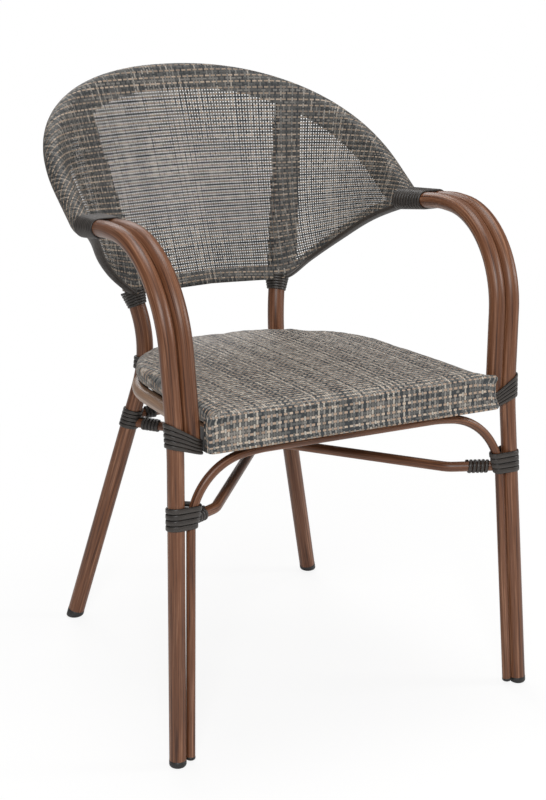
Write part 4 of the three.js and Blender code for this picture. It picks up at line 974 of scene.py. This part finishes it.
def stretcher_strip_plans():
    """Windings at the ends of the stretchers and of the crossbar."""
    front_end = up_line(FRONT_FOOT, WAIST, STRETCHER_FRONT_HEIGHT)
    to_bend = (STRETCHER_BEND - front_end).normalized()
    rear_end = mirrored(up_line(BACK_FOOT, BACK_KNEE, STRETCHER_REAR_HEIGHT))
    from_rear = (STRETCHER_BEND - rear_end).normalized()
    rake = BACK_AXIS.angle(UPWARDS)
    beside = BACK_TUBE / 2 + STRIP_ROOM + (SLIM_TUBE / 2 + STRIP_ROOM) * math.sin(rake)
    bar_end = up_line(BACK_FOOT, BACK_KNEE, CROSSBAR_HEIGHT)
    return {
        "stretcher_front_wrap": {
            "start": front_end + to_bend * STRETCHER_WRAP_REACH, "axis": to_bend, "across": UPWARDS,
            "first": SLIM_TUBE / 2, "turns": STRETCHER_WRAP_TURNS, "pitch": RIB_PITCH, "roundness": 2.6,
        },
        "stretcher_rear_wrap": {
            "start": rear_end + from_rear * beside, "axis": from_rear, "across": UPWARDS,
            "first": SLIM_TUBE / 2, "turns": STRETCHER_WRAP_TURNS, "pitch": RIB_PITCH,
        },
        "crossbar_wrap": {
            "start": bar_end + INWARDS * beside, "axis": INWARDS, "across": UPWARDS,
            "first": SLIM_TUBE / 2, "turns": CROSSBAR_WRAP_TURNS, "pitch": RIB_PITCH,
        },
    }


def strip_plans():
    """Start, direction and turns of every wound joint on the left side, keyed by its node."""
    return front_strip_plans() | rear_strip_plans() | stretcher_strip_plans()


# The woven back

def post_foot():
    return up_line(BACK_KNEE, POST_TOP, HOOP_CORNER.z - EDGE_DROP)


def lower_edge(share):
    corner = post_foot()
    middle = Vector((0, corner.y - EDGE_MIDDLE_RISE, corner.z + EDGE_MIDDLE_RISE))
    return corner.lerp(middle, share)


def cloth_stations():
    """The hoop's places that the cloth covers, each with its place on the cloth's lower edge."""
    hoop = hoop_half()
    first = next(i for i, p in enumerate(hoop) if p.y > ARM_WRAP_END.y + 1)
    covered = [to_depth(hoop[first - 1], hoop[first], ARM_WRAP_END.y + 1)] + hoop[first:]
    lengths = along_lengths(covered)
    after = next(i for i, p in enumerate(covered) if p.x > -POST_TOP_X)
    part = (-POST_TOP_X - covered[after - 1].x) / (covered[after].x - covered[after - 1].x)
    post_length = lengths[after - 1] + part * (lengths[after] - lengths[after - 1])
    wing = [Vector((HOOP_CORNER.x + i, y, HOOP_CORNER.z - d)) for i, y, d in WING_PLACES] + [post_foot()]
    half = []
    for place, length in zip(covered, lengths):
        if length < post_length:
            edge = through_places(wing, length / post_length)
        else:
            edge = lower_edge((length - post_length) / (lengths[-1] - post_length))
        half.append((place, edge))
    return half + [(mirrored(p), mirrored(e)) for p, e in reversed(half[:-1])]


def cloth_frames(stations):
    """Each station's place, its run down the panel, directions square to the hoop and forward, and length."""
    places = [p for p, e in stations]
    frames = []
    for i, (place, edge) in enumerate(stations):
        tangent = line_tangent(places, i)
        run = (edge - place).normalized()
        forward = run.cross(tangent).normalized()
        square = tangent.cross(forward).normalized()
        if square.dot(run) < 0:
            square.negate()
        frames.append((place, run, square, forward, (edge - place).length))
    return frames


# Rows of the cloth's mesh, the value of doubled cloth, and the stations that set the flat cloth's scale
HEM_POINTS = 3
PANEL_ROWS = 34
ROUND_ROWS = 18
HEM_ROWS = 4
DOUBLED = -9
GAUGE_STATIONS = 12
GAUGE_ROWS = 8
BAND_STEPS = 20
BAND_LEVELS = 24


def cloth_section(frame_at):
    """Places down one section of the cloth, from the fold of the lower hem, up the front, over the hoop and
    down behind it to the rear hem, each with how far it lies from the nearest doubled cloth."""
    place, run, square, forward, length = frame_at
    section = []

    def panel(along, ahead, clear):
        section.append((place + run * along + forward * ahead, clear))

    hem = min(FOLD_HEM, length * 0.4)
    panel(length - hem, PANEL_FORWARD - HEM_BEHIND, DOUBLED)
    panel(length - FOLD_START, PANEL_FORWARD - HEM_BEHIND, DOUBLED)
    panel(length + FOLD_BELOW, PANEL_FORWARD - HEM_BEHIND / 2, DOUBLED)
    top = SLEEVE_RADIUS * PANEL_TOP_SHARE
    for k in range(PANEL_ROWS + 1):
        along = length + (top - length) * k / PANEL_ROWS
        ease = min(along / PANEL_EASE, 1)
        ahead = SLEEVE_RADIUS + (PANEL_FORWARD - SLEEVE_RADIUS) * ease * ease * (3 - 2 * ease)
        clear = min(along - SLEEVE_RADIUS - REAR_HEM, length - along - FOLD_HEM)
        panel(along, ahead, clear)
    for k in range(ROUND_ROWS + 1):
        angle = ROUND_START + (ROUND_END - ROUND_START) * k / ROUND_ROWS
        out = square * math.cos(angle) + forward * math.sin(angle)
        section.append((place + out * SLEEVE_RADIUS, DOUBLED))
    return section + rear_hem(place, square, forward, length)


def rear_hem(place, square, forward, length):
    """Places of one section from the back of the hoop down to the hem that is sewn behind the panel."""
    start_along, start_ahead = SLEEVE_RADIUS * math.cos(ROUND_END), SLEEVE_RADIUS * math.sin(ROUND_END)
    reach = min(SLEEVE_RADIUS + REAR_HEM, length * 0.6)
    places = []
    for k in range(1, HEM_ROWS + 1):
        share = k / HEM_ROWS
        along = start_along + (reach - start_along) * share
        ahead = start_ahead + (PANEL_FORWARD - HEM_BEHIND - start_ahead) * min(share * HEM_SLOPE, 1)
        places.append((place + square * along + forward * ahead, DOUBLED))
    return places


def band_clearance(place):
    """How far a place on the panel lies outside the doubled bands over the posts."""
    foot = post_foot()
    share = (place.z - foot.z) / (POST_TOP.z - foot.z)
    centre = foot.x + (POST_TOP.x - foot.x) * share
    half = BAND_FOOT_HALF + (BAND_TOP_HALF - BAND_FOOT_HALF) * min(max(share, 0), 1)
    return abs(abs(place.x) - abs(centre)) - half


def flatten_cloth(mesh, middle):
    """Gives each point its place on the flat cut cloth in metres, the attribute that the weave follows."""
    piece = bpy.data.objects.new("flattening", mesh)
    bpy.context.scene.collection.objects.link(piece)
    mesh.uv_layers.new(name="flat")
    bpy.context.view_layer.objects.active = piece
    piece.select_set(True)
    bpy.ops.object.mode_set(mode="EDIT")
    bpy.ops.mesh.select_all(action="SELECT")
    bpy.ops.uv.unwrap(method="CONFORMAL", fill_holes=False, margin=0)
    bpy.ops.object.mode_set(mode="OBJECT")
    flat = [Vector((0, 0))] * len(mesh.vertices)
    for loop, uv in zip(mesh.loops, mesh.uv_layers["flat"].uv):
        flat[loop.vertex_index] = uv.vector.copy()
    left, right, low, high = middle
    across = flat[right] - flat[left]
    scale = (mesh.vertices[right].co - mesh.vertices[left].co).length / across.length
    turn = Matrix.Rotation(-math.atan2(across.y, across.x), 2)
    flat = [turn @ (p - flat[left]) * scale for p in flat]
    flip = -1 if (flat[high] - flat[low]).y < 0 else 1
    store_vectors(mesh, "weave", [(p.x, p.y * flip, 0) for p in flat])
    mesh.uv_layers.remove(mesh.uv_layers["flat"])
    bpy.data.objects.remove(piece)


def back_cloth_mesh():
    sections = [cloth_section(f) for f in cloth_frames(cloth_stations())]
    rings = [[p for p, c in s] for s in sections]
    mesh = mesh_from_rings(rings, "back_cloth", closed_ends=False, closed_rings=False)
    clear = [min(c, band_clearance(p)) for s in sections for p, c in s]
    layer = mesh.attributes.new("single", "FLOAT", "POINT")
    layer.data.foreach_set("value", clear)
    count, centre = len(rings[0]), len(rings) // 2
    row = HEM_POINTS + PANEL_ROWS // 2
    left, right = (centre - GAUGE_STATIONS) * count + row, (centre + GAUGE_STATIONS) * count + row
    middle = centre * count + row
    flatten_cloth(mesh, (left, right, middle - GAUGE_ROWS, middle + GAUGE_ROWS))
    return mesh


def band_outline(sideways, forward, inner):
    """Outline of the band's U-shaped wall, out round the back of the post and back inside it."""
    arms = forward * (PANEL_FORWARD - BAND_BEHIND_PANEL)
    outer = inner + BAND_WALL
    turns = [math.pi * k / BAND_STEPS for k in range(BAND_STEPS + 1)]
    out = [sideways * (outer * math.cos(a)) - forward * (outer * math.sin(a)) for a in turns]
    back = [sideways * (inner * math.cos(a)) - forward * (inner * math.sin(a)) for a in reversed(turns)]
    ends = [-sideways * outer + arms, -sideways * inner + arms]
    return [sideways * outer + arms, *out, *ends, *back, sideways * inner + arms]


def u_band(name, low, high, section):
    """The rear half of a cloth band round a post, as a closed U-shaped wall."""
    rings = [[low.lerp(high, k / BAND_LEVELS) + p for p in section] for k in range(BAND_LEVELS + 1)]
    mesh = mesh_from_rings(rings, name)
    lengths = along_lengths(section)
    step = (high - low).length / BAND_LEVELS
    places = [(length * MM, k * step * MM, 0) for k in range(BAND_LEVELS + 1) for length in lengths]
    store_vectors(mesh, "weave", places)
    return outwards(mesh, merge=False)


# The padded seat

FACE_SWELL = 0.9
FACE_ROUNDING = 6
FACE_REAR_ROUNDING = 0.5
FACE_CORNER_STEPS = 6
FRONT_STRETCH = 0.86
FLAT_SHARE = 0.06
UPPER_NORMAL = 0.5
CROWN_REACH = 30
PAD_VOXEL = 4
FILL_PRESSURE = 4
FILL_FRAMES = 20

# Inset and height of the cushion's levels, and half width and inset of the face's ends, from the outside in
CUSHION_LEVELS = (
    (SEAT_DRAW_IN, CUSHION_BOTTOM),
    (1, CUSHION_BOTTOM + 5),
    (1, SEAT_TOP - 4.5),
    (2.3, SEAT_TOP - 1.8),
    (5.5, SEAT_TOP),
)
FACE_ENDS = ((FACE_HALF + FACE_SWELL, 5), (FACE_HALF, 2.2), (FACE_HALF - 2, 0.6), (FACE_HALF - 5, 0))


def rounded_block_ring(x, inset):
    """Section of the seat's front face at one place across, drawn in by an inset with its edges rounded."""
    back, front = CUSHION_FRONT - 1, FACE_FRONT - FACE_SWELL
    low, top = FACE_BOTTOM - FACE_SWELL, SEAT_TOP
    ring = []
    corners = (
        (back, low, FACE_REAR_ROUNDING),
        (back, top, FACE_REAR_ROUNDING),
        (front, top, FACE_ROUNDING),
        (front, low, FACE_ROUNDING),
    )
    middle_y, middle_z = (back + front) / 2, (low + top) / 2
    for y, z, radius in corners:
        toward_y, toward_z = math.copysign(1, y - middle_y), math.copysign(1, z - middle_z)
        centre_y, centre_z = y - toward_y * (radius + inset), z - toward_z * (radius + inset)
        start = math.atan2(toward_z, toward_y) + math.pi / 4
        for k in range(FACE_CORNER_STEPS + 1):
            angle = start - math.pi / 2 * k / FACE_CORNER_STEPS
            spot = Vector((x, centre_y + radius * math.cos(angle), centre_z + radius * math.sin(angle)))
            ring.append(from_seat(spot))
    return ring


def seat_pad_mesh():
    """The pad before it is filled: the cushion on the board and the face that hangs over the front rail."""
    rings = []
    for inset, height in CUSHION_LEVELS:
        plan = seat_plan(inset, CUSHION_FRONT - CUSHION_LAP)
        rings.append([from_seat(Vector((p.x, p.y, height))) for p in plan])
    cushion = outwards(mesh_from_rings(rings, "cushion"))
    rings = [rounded_block_ring(-x, inset) for x, inset in FACE_ENDS]
    rings += [rounded_block_ring(x, inset) for x, inset in reversed(FACE_ENDS)]
    face = outwards(mesh_from_rings(rings, "face"))
    work = bmesh.new()
    work.from_mesh(cushion)
    work.from_mesh(face)
    joined = bpy.data.meshes.new("pad")
    work.to_mesh(joined)
    work.free()
    return joined


def crowned(mesh):
    """Raises the top of the pad towards its middle."""
    top = in_frame(from_seat(Vector((0, SEAT_DEPTH / 2, SEAT_TOP))))
    for vertex in mesh.vertices:
        if vertex.normal.z < UPPER_NORMAL or vertex.co.z < top.z - CROWN_REACH * MM:
            continue
        across = vertex.co.x / (SEAT_SIDE * MM)
        along = (vertex.co.y - top.y) / (SEAT_DEPTH / 2 * MM)
        rise = max(0, 1 - across ** 2) * max(0, 1 - along ** 2)
        vertex.co.z += SEAT_CROWN * MM * rise
    return mesh


def seat_weave_places(mesh):
    """Where each point lies on the cover's cloth: flat on top, running on down the front and the sides."""
    edge = in_frame(from_seat(Vector((0, FACE_FRONT, SEAT_TOP))))
    face_depth = (CUSHION_FRONT - FACE_FRONT + 1) * MM
    places = []
    for vertex in mesh.vertices:
        place, normal = vertex.co - edge, vertex.normal
        sideways = normal.x ** 2 / (normal.x ** 2 + normal.y ** 2 + FLAT_SHARE)
        drop = place.z * FRONT_STRETCH
        if place.y < face_depth:
            u = place.x + math.copysign(place.y * sideways, place.x)
            v = place.y * (1 - sideways) + drop
        else:
            u = place.x - math.copysign(drop * sideways, place.x)
            v = place.y + drop * (1 - sideways)
        places.append((u, v, 0))
    return places


def applied(piece):
    """The piece's mesh with its modifiers applied."""
    mesh = bpy.data.meshes.new_from_object(piece.evaluated_get(bpy.context.evaluated_depsgraph_get()))
    piece.modifiers.clear()
    return mesh


def swollen(piece, most):
    """The piece's mesh after its pressure cloth simulation, no point moved further than most."""
    rest = [v.co.copy() for v in piece.data.vertices]
    cloth = piece.modifiers.new("cloth", "CLOTH")
    cloth.settings.use_pressure = True
    cloth.settings.uniform_pressure_force = FILL_PRESSURE
    cloth.settings.effector_weights.gravity = 0
    cloth.point_cache.frame_start = 1
    cloth.point_cache.frame_end = FILL_FRAMES
    scene = bpy.context.scene
    for number in range(1, FILL_FRAMES + 1):
        scene.frame_set(number)
    mesh = applied(piece)
    scene.frame_set(1)
    for vertex, place in zip(mesh.vertices, rest):
        move = vertex.co - place
        if move.length > most:
            vertex.co = place + move.normalized() * most
    return mesh


def filled_pad(mesh, most):
    """The pad remeshed and filled, with its cover's points moved no further than most."""
    piece = bpy.data.objects.new("filling", mesh)
    bpy.context.scene.collection.objects.link(piece)
    remesh = piece.modifiers.new("voxels", "REMESH")
    remesh.mode = "VOXEL"
    remesh.voxel_size = PAD_VOXEL * MM
    smooth = piece.modifiers.new("smooth", "SMOOTH")
    smooth.iterations = 2
    piece.data = crowned(applied(piece))
    piece.data = swollen(piece, most)
    finer = piece.modifiers.new("finer", "SUBSURF")
    finer.levels = finer.render_levels = 1
    mesh = applied(piece)
    bpy.data.objects.remove(piece)
    return mesh


# Foot caps and small pieces

CAP_SIDES = 40
CAP_LIP = 0.25
TINY = 0.02

# Inset and height of the foot's rounding, as shares of its taper
CAP_PROFILE = ((1, 0), (0.5, 0.3), (0.12, 0.75), (0, 1.2))


def foot_cap_mesh(diameter, foot, above, height, rise, taper):
    """A moulded glide flush with a raked tube end, tapered all round to its level foot."""
    axis = (above - foot).normalized()
    end = tube_end(diameter, foot, above, rise + height)
    side = axis.orthogonal().normalized()
    outs = []
    for k in range(CAP_SIDES):
        angle = 2 * math.pi * k / CAP_SIDES
        outs.append(side * math.cos(angle) + axis.cross(side) * math.sin(angle))
    radius = diameter / 2 + CAP_LIP
    rings = []
    for inset, up in ((radius - TINY, 0), *((taper * a, taper * b) for a, b in CAP_PROFILE)):
        level = [end + out * (radius - inset) for out in outs]
        rings.append([p + axis * ((rise + up - p.z) / axis.z) for p in level])
    for inset, up in ((0, -CAP_LIP), (CAP_LIP, 0), (radius - TINY, 0)):
        rings.append([end + axis * up + out * (radius - inset) for out in outs])
    return outwards(mesh_from_rings(rings, "cap"))


def put_finish(node, material):
    """Gives a CAD node that stays its finish."""
    for thing in bpy.context.scene.objects:
        if thing.get("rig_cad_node") == node:
            thing.data.materials.clear()
            thing.data.materials.append(material)
            return
    raise ValueError("no CAD node is named " + node)


# Settings that a user would change

class ChairLooks(bpy.types.PropertyGroup):
    tube_dark: bpy.props.StringProperty(
        name="Dark grain", description="Colour of the dark streaks", default="#3b1f11")
    tube_middle: bpy.props.StringProperty(
        name="Tube", description="Main colour of the tubes", default="#6b432b")
    tube_light: bpy.props.StringProperty(
        name="Light grain", description="Colour of the pale streaks", default="#936a51")
    strip_dark: bpy.props.StringProperty(
        name="Strip shade", description="Dark tone of the strips", default="#1e1a18")
    strip_light: bpy.props.StringProperty(
        name="Strip", description="Light tone of the strips", default="#403a35")
    cloth_thickness: bpy.props.FloatProperty(
        name="Cloth", description="Thickness of the woven back", default=0.0006, unit="LENGTH",
        min=0.0002, max=0.003)
    fill_limit: bpy.props.FloatProperty(
        name="Fill", description="How far the filling may push the seat's cover out", default=0.003,
        unit="LENGTH", min=0, max=0.02)


class ChairPiece:
    """What the operators share."""

    bl_options = {"REGISTER", "UNDO"}


class CHAIR_OT_tubes(ChairPiece, bpy.types.Operator):
    """Sweep the frame's tubes along their routes"""

    bl_idname = "chair.tubes"
    bl_label = "Frame tubes"

    def execute(self, context):
        brown = tube_finish()
        tube_pair("front_leg_arm", arm_route(), ARM_TUBE, brown)
        tube_pair("inner_arm_tube", inner_arm_route(), ARM_TUBE, brown)
        tube_pair("back_leg_post", back_leg_route(), BACK_TUBE, brown)
        tube_piece("back_hoop_look", both_halves(hoop_half()), ARM_TUBE, ["back_hoop"], brown)
        tube_piece("front_arch_look", both_halves(arch_half()), ARCH_TUBE, ["front_arch"], brown)
        through = stretcher_route()
        tube_piece("through_stretcher_look", through, SLIM_TUBE, ["cross_stretcher_through"], brown)
        for place, half in zip(("front", "rear"), split_stretcher(through)):
            node = "cross_stretcher_half_" + place
            tube_piece(place + "_half_stretcher_look", half, SLIM_TUBE, [node], brown)
        end = up_line(BACK_FOOT, BACK_KNEE, CROSSBAR_HEIGHT)
        tube_piece("crossbar_look", [end, mirrored(end)], SLIM_TUBE, ["rear_crossbar"], brown)
        return {"FINISHED"}


class CHAIR_OT_rails(ChairPiece, bpy.types.Operator):
    """Sweep the pale rails that the seat sits on"""

    bl_idname = "chair.rails"
    bl_label = "Seat rails"

    def execute(self, context):
        pale = rail_finish()
        ring = [from_seat(p) for p in seat_plan(RAIL_INSET, RAIL_TUBE / 2 + RAIL_CLEARANCE)]
        tube_piece("seat_rail_look", ring, RAIL_TUBE, ["seat_rail"], pale)
        front = [from_seat(Vector((x, 0, 0))) for x in (-FRONT_RAIL_HALF, FRONT_RAIL_HALF)]
        tube_piece("front_rail_look", front, RAIL_TUBE, ["seat_front_rail"], pale)
        return {"FINISHED"}


class CHAIR_OT_strips(ChairPiece, bpy.types.Operator):
    """Wind the strips round the joints"""

    bl_idname = "chair.strips"
    bl_label = "Wound joints"

    def execute(self, context):
        for name, plan in strip_plans().items():
            strip_pair(name, plan)
        return {"FINISHED"}


class CHAIR_OT_seat(ChairPiece, bpy.types.Operator):
    """Fill the padded seat"""

    bl_idname = "chair.seat"
    bl_label = "Padded seat"

    def execute(self, context):
        mesh = filled_pad(seat_pad_mesh(), context.scene.chair_looks.fill_limit)
        store_vectors(mesh, "weave", seat_weave_places(mesh))
        piece = new_piece("seat_pad", mesh, ["seat_cushion", "seat_front_face"], [seat_cloth()])
        return {"FINISHED"}


class CHAIR_OT_seat_fittings(ChairPiece, bpy.types.Operator):
    """Finish the board, screws, plates and stubs under the seat"""

    bl_idname = "chair.seat_fittings"
    bl_label = "Seat fittings"

    def execute(self, context):
        # Pressed fibre board with a dark sealed face: matt, with a fine speckle
        put_finish("seat_base_board", moulded("sealed_fibre_board", "#2f2d2b", "#45423e", 0.8, 1.2))
        # Zinc-plated steel: a bright grey metal with soft scratches
        zinc = moulded("zinc_plated_steel", "#80838a", "#a4a7ab", 0.38, 0.6, 1.0)
        # Powder-coated steel plate and stub: satin charcoal. On the side plates, which sit in the wraps'
        # shade beside the rail, the charcoal is partly painted shade.
        coated = moulded("charcoal_coat_with_painted_shade", "#2c2a29", "#3b3836", 0.5, 0.5)
        for side in ("left", "right"):
            put_finish("board_screw_front_" + side, zinc)
            put_finish("board_screw_rear_" + side, zinc)
            put_finish("side_plate_" + side, coated)
            put_finish("rear_stub_" + side, coated)
        return {"FINISHED"}


class CHAIR_OT_back(ChairPiece, bpy.types.Operator):
    """Stretch the woven back over the hoop and the posts"""

    bl_idname = "chair.back"
    bl_label = "Woven back"

    def execute(self, context):
        mesh = back_cloth_mesh()
        piece = new_piece("woven_back", mesh, ["backrest_fabric"], [back_cloth()])
        wall = piece.modifiers.new("thickness", "SOLIDIFY")
        wall.thickness = context.scene.chair_looks.cloth_thickness
        wall.offset = 0
        piece.data = applied(piece)
        return {"FINISHED"}


class CHAIR_OT_post_bands(ChairPiece, bpy.types.Operator):
    """Sew the cloth bands round the back of the posts"""

    bl_idname = "chair.post_bands"
    bl_label = "Post bands"

    def execute(self, context):
        low = post_foot() + POST_AXIS * SLEEVE_ABOVE_EDGE
        high = POST_TOP.lerp(low, BAND_TOP_SHARE)
        tangent = (hoop_at(-POST_TOP_X + HOOP_STEP) - hoop_at(-POST_TOP_X - HOOP_STEP)).normalized()
        forward = (-POST_AXIS).cross(tangent).normalized()
        sideways = forward.cross(POST_AXIS).normalized()
        outline = band_outline(sideways, forward, BACK_TUBE / 2 + PIECE_GAP)
        mesh = u_band("post_band", low, high, outline)
        cloth = seat_cloth()
        for side, shape in (("left", mesh), ("right", mirror_mesh(mesh))):
            piece = new_piece("post_band_" + side, shape, ["post_sleeve_" + side], [cloth])
        return {"FINISHED"}


def edging_station(frame_at, share):
    """Places of the edging's rounded section at one station, each also as steps across and forward."""
    place, run, square, forward, length = frame_at
    depth = EDGING_DEPTH + (EDGING_END_DEPTH - EDGING_DEPTH) * share
    centre = place + run * (length + EDGING_PROUD - EDGING_WIDTH / 2)
    centre += forward * (PANEL_FORWARD + EDGING_PROUD - depth / 2)
    spots = []
    for k in range(EDGING_SIDES):
        angle = 2 * math.pi * k / EDGING_SIDES
        along = math.copysign(abs(math.cos(angle)) ** EDGING_ROUNDNESS, math.cos(angle)) * EDGING_WIDTH / 2
        ahead = math.copysign(abs(math.sin(angle)) ** EDGING_ROUNDNESS, math.sin(angle)) * depth / 2
        spots.append((along, ahead))
    return [centre + run * a + forward * d for a, d in spots], spots


def edging_mesh():
    """The edging from the arm's winding to the post, with each point's place along and across it."""
    stations = cloth_stations()
    frames = cloth_frames(stations)
    post_side = post_foot().x - BACK_TUBE / 2
    last = next(i for i, (p, e) in enumerate(stations) if e.x > post_side) - 1
    rings, places = [], []
    travelled = 0
    for i in range(last + 1):
        travelled += (stations[i][1] - stations[max(i - 1, 0)][1]).length
        ring, spots = edging_station(frames[i], i / last)
        rings.append(ring)
        places += [(travelled * MM, (along + ahead) * MM, 0) for along, ahead in spots]
    mesh = mesh_from_rings(rings, "edging")
    store_vectors(mesh, "along", places)
    return outwards(mesh, merge=False)


class CHAIR_OT_wing_edges(ChairPiece, bpy.types.Operator):
    """Fold the dark edging behind the wings of the back"""

    bl_idname = "chair.wing_edges"
    bl_label = "Wing edging"

    def execute(self, context):
        mesh = edging_mesh()
        finish = strip_finish()
        new_piece("wing_edging_left", mesh, ["wing_binding_left"], [finish])
        new_piece("wing_edging_right", mirror_mesh(mesh), ["wing_binding_right"], [finish])
        return {"FINISHED"}


class CHAIR_OT_feet(ChairPiece, bpy.types.Operator):
    """Fit the moulded foot caps"""

    bl_idname = "chair.feet"
    bl_label = "Foot caps"

    def execute(self, context):
        # Moulded polypropylene: matt black with a fine spark-eroded grit
        finish = moulded("black_polypropylene", "#1d1c1b", "#2b2a29", 0.45, 0.4)
        caps = (
            ("front_foot_cap", ARM_TUBE, FRONT_FOOT, WAIST, CAP_HEIGHT, 0, 2.8),
            ("arch_foot_cap", ARCH_TUBE, ARCH_FOOT, ARCH_CORNER, ARCH_CAP_HEIGHT, ARCH_FOOT_RISE, 1.4),
            ("back_foot_cap", BACK_TUBE, BACK_FOOT, BACK_KNEE, CAP_HEIGHT, 0, 3),
        )
        for name, *sizes in caps:
            mesh = foot_cap_mesh(*sizes)
            new_piece(name + "_left_look", mesh, [name + "_left"], [finish])
            new_piece(name + "_right_look", mirror_mesh(mesh), [name + "_right"], [finish])
        return {"FINISHED"}


class CHAIR_OT_stage(ChairPiece, bpy.types.Operator):
    """Set the floor, the lights, the background and the camera"""

    bl_idname = "chair.stage"
    bl_label = "Stage"

    def execute(self, context):
        scene = context.scene
        self.camera(scene)
        self.floor(scene)
        self.lights(scene)
        self.background(scene)
        scene.view_settings.view_transform = "Standard"
        return {"FINISHED"}

    def camera(self, scene):
        data = bpy.data.cameras.new("camera")
        data.lens = CAMERA_LENS
        data.sensor_width = CAMERA_SENSOR
        data.sensor_height = CAMERA_SENSOR
        data.sensor_fit = "VERTICAL"
        camera = bpy.data.objects.new("camera", data)
        camera.location = CAMERA_PLACE
        camera.rotation_euler = CAMERA_AIM.to_track_quat("-Z", "Y").to_euler()
        scene.collection.objects.link(camera)
        scene.camera = camera

    def floor(self, scene):
        mesh = bpy.data.meshes.new("floor")
        turns = ((-1, -1), (1, -1), (1, 1), (-1, 1))
        corners = [(x * FLOOR_HALF, y * FLOOR_HALF, -FLOOR_DROP) for x, y in turns]
        mesh.from_pydata(corners, [], [(0, 1, 2, 3)])
        floor = bpy.data.objects.new("floor", mesh)
        scene.collection.objects.link(floor)
        material, tree, output = blank_material("pale_floor")
        lit = add(tree, "ShaderNodeBsdfDiffuse", {"Color": linear(FLOOR_TONE)})
        white = add(tree, "ShaderNodeEmission", {"Color": (1, 1, 1, 1), "Strength": 1})
        seen = add(tree, "ShaderNodeLightPath").outputs["Is Camera Ray"]
        place = add(tree, "ShaderNodeTexCoord").outputs["Object"]
        away = add(tree, "ShaderNodeVectorMath", (place,), operation="LENGTH").outputs["Value"]
        spread = {"From Min": GLOW_START, "From Max": GLOW_END, "To Min": GLOW_NEAR, "To Max": 1}
        glow = add(tree, "ShaderNodeMapRange", {"Value": away, **spread})
        share = add(tree, MATH, (seen, glow), operation="MULTIPLY")
        mixed = add(tree, "ShaderNodeMixShader", (share, lit, white))
        tree.links.new(mixed.outputs[0], output.inputs[0])
        mesh.materials.append(material)

    def lights(self, scene):
        for name, place, size, power in LAMPS:
            data = bpy.data.lights.new(name, "AREA")
            data.shape = "SQUARE"
            data.size = size
            data.energy = power
            lamp = bpy.data.objects.new(name, data)
            lamp.location = place
            lamp.rotation_euler = (LAMP_AIM - Vector(place)).to_track_quat("-Z", "Y").to_euler()
            scene.collection.objects.link(lamp)

    def background(self, scene):
        world = bpy.data.worlds.new("studio")
        scene.world = world
        world.use_nodes = True
        tree = world.node_tree
        tree.nodes.clear()
        path = add(tree, "ShaderNodeLightPath")
        direct = (path.outputs["Is Camera Ray"], path.outputs["Is Transmission Ray"])
        seen = add(tree, MATH, direct, operation="MAXIMUM")
        soft = add(tree, "ShaderNodeBackground", {"Color": (1, 1, 1, 1), "Strength": SOFT_LIGHT})
        white = add(tree, "ShaderNodeBackground", {"Color": (1, 1, 1, 1), "Strength": 1})
        mixed = add(tree, "ShaderNodeMixShader", (seen, soft, white))
        output = add(tree, "ShaderNodeOutputWorld")
        tree.links.new(mixed.outputs[0], output.inputs[0])


class CHAIR_PT_panel(bpy.types.Panel):
    """Lists the chair's pieces"""

    bl_idname = "CHAIR_PT_panel"
    bl_label = "Bistro armchair"
    bl_space_type = "VIEW_3D"
    bl_region_type = "UI"
    bl_category = "Chair"

    def draw(self, context):
        column = self.layout.column()
        for operator in OPERATORS:
            column.operator(operator.bl_idname)
        for name in ChairLooks.__annotations__:
            column.prop(context.scene.chair_looks, name)


OPERATORS = (
    CHAIR_OT_stage,
    CHAIR_OT_tubes,
    CHAIR_OT_rails,
    CHAIR_OT_strips,
    CHAIR_OT_seat,
    CHAIR_OT_seat_fittings,
    CHAIR_OT_back,
    CHAIR_OT_post_bands,
    CHAIR_OT_wing_edges,
    CHAIR_OT_feet,
)
CLASSES = (ChairLooks, *OPERATORS, CHAIR_PT_panel)


def register():
    for cls in CLASSES:
        bpy.utils.register_class(cls)
    bpy.types.Scene.chair_looks = bpy.props.PointerProperty(type=ChairLooks)


def unregister():
    del bpy.types.Scene.chair_looks
    for cls in reversed(CLASSES):
        bpy.utils.unregister_class(cls)


def main():
    register()
    for operator in OPERATORS:
        group, name = operator.bl_idname.split(".")
        getattr(getattr(bpy.ops, group), name)()


if __name__ == "__main__":
    main()
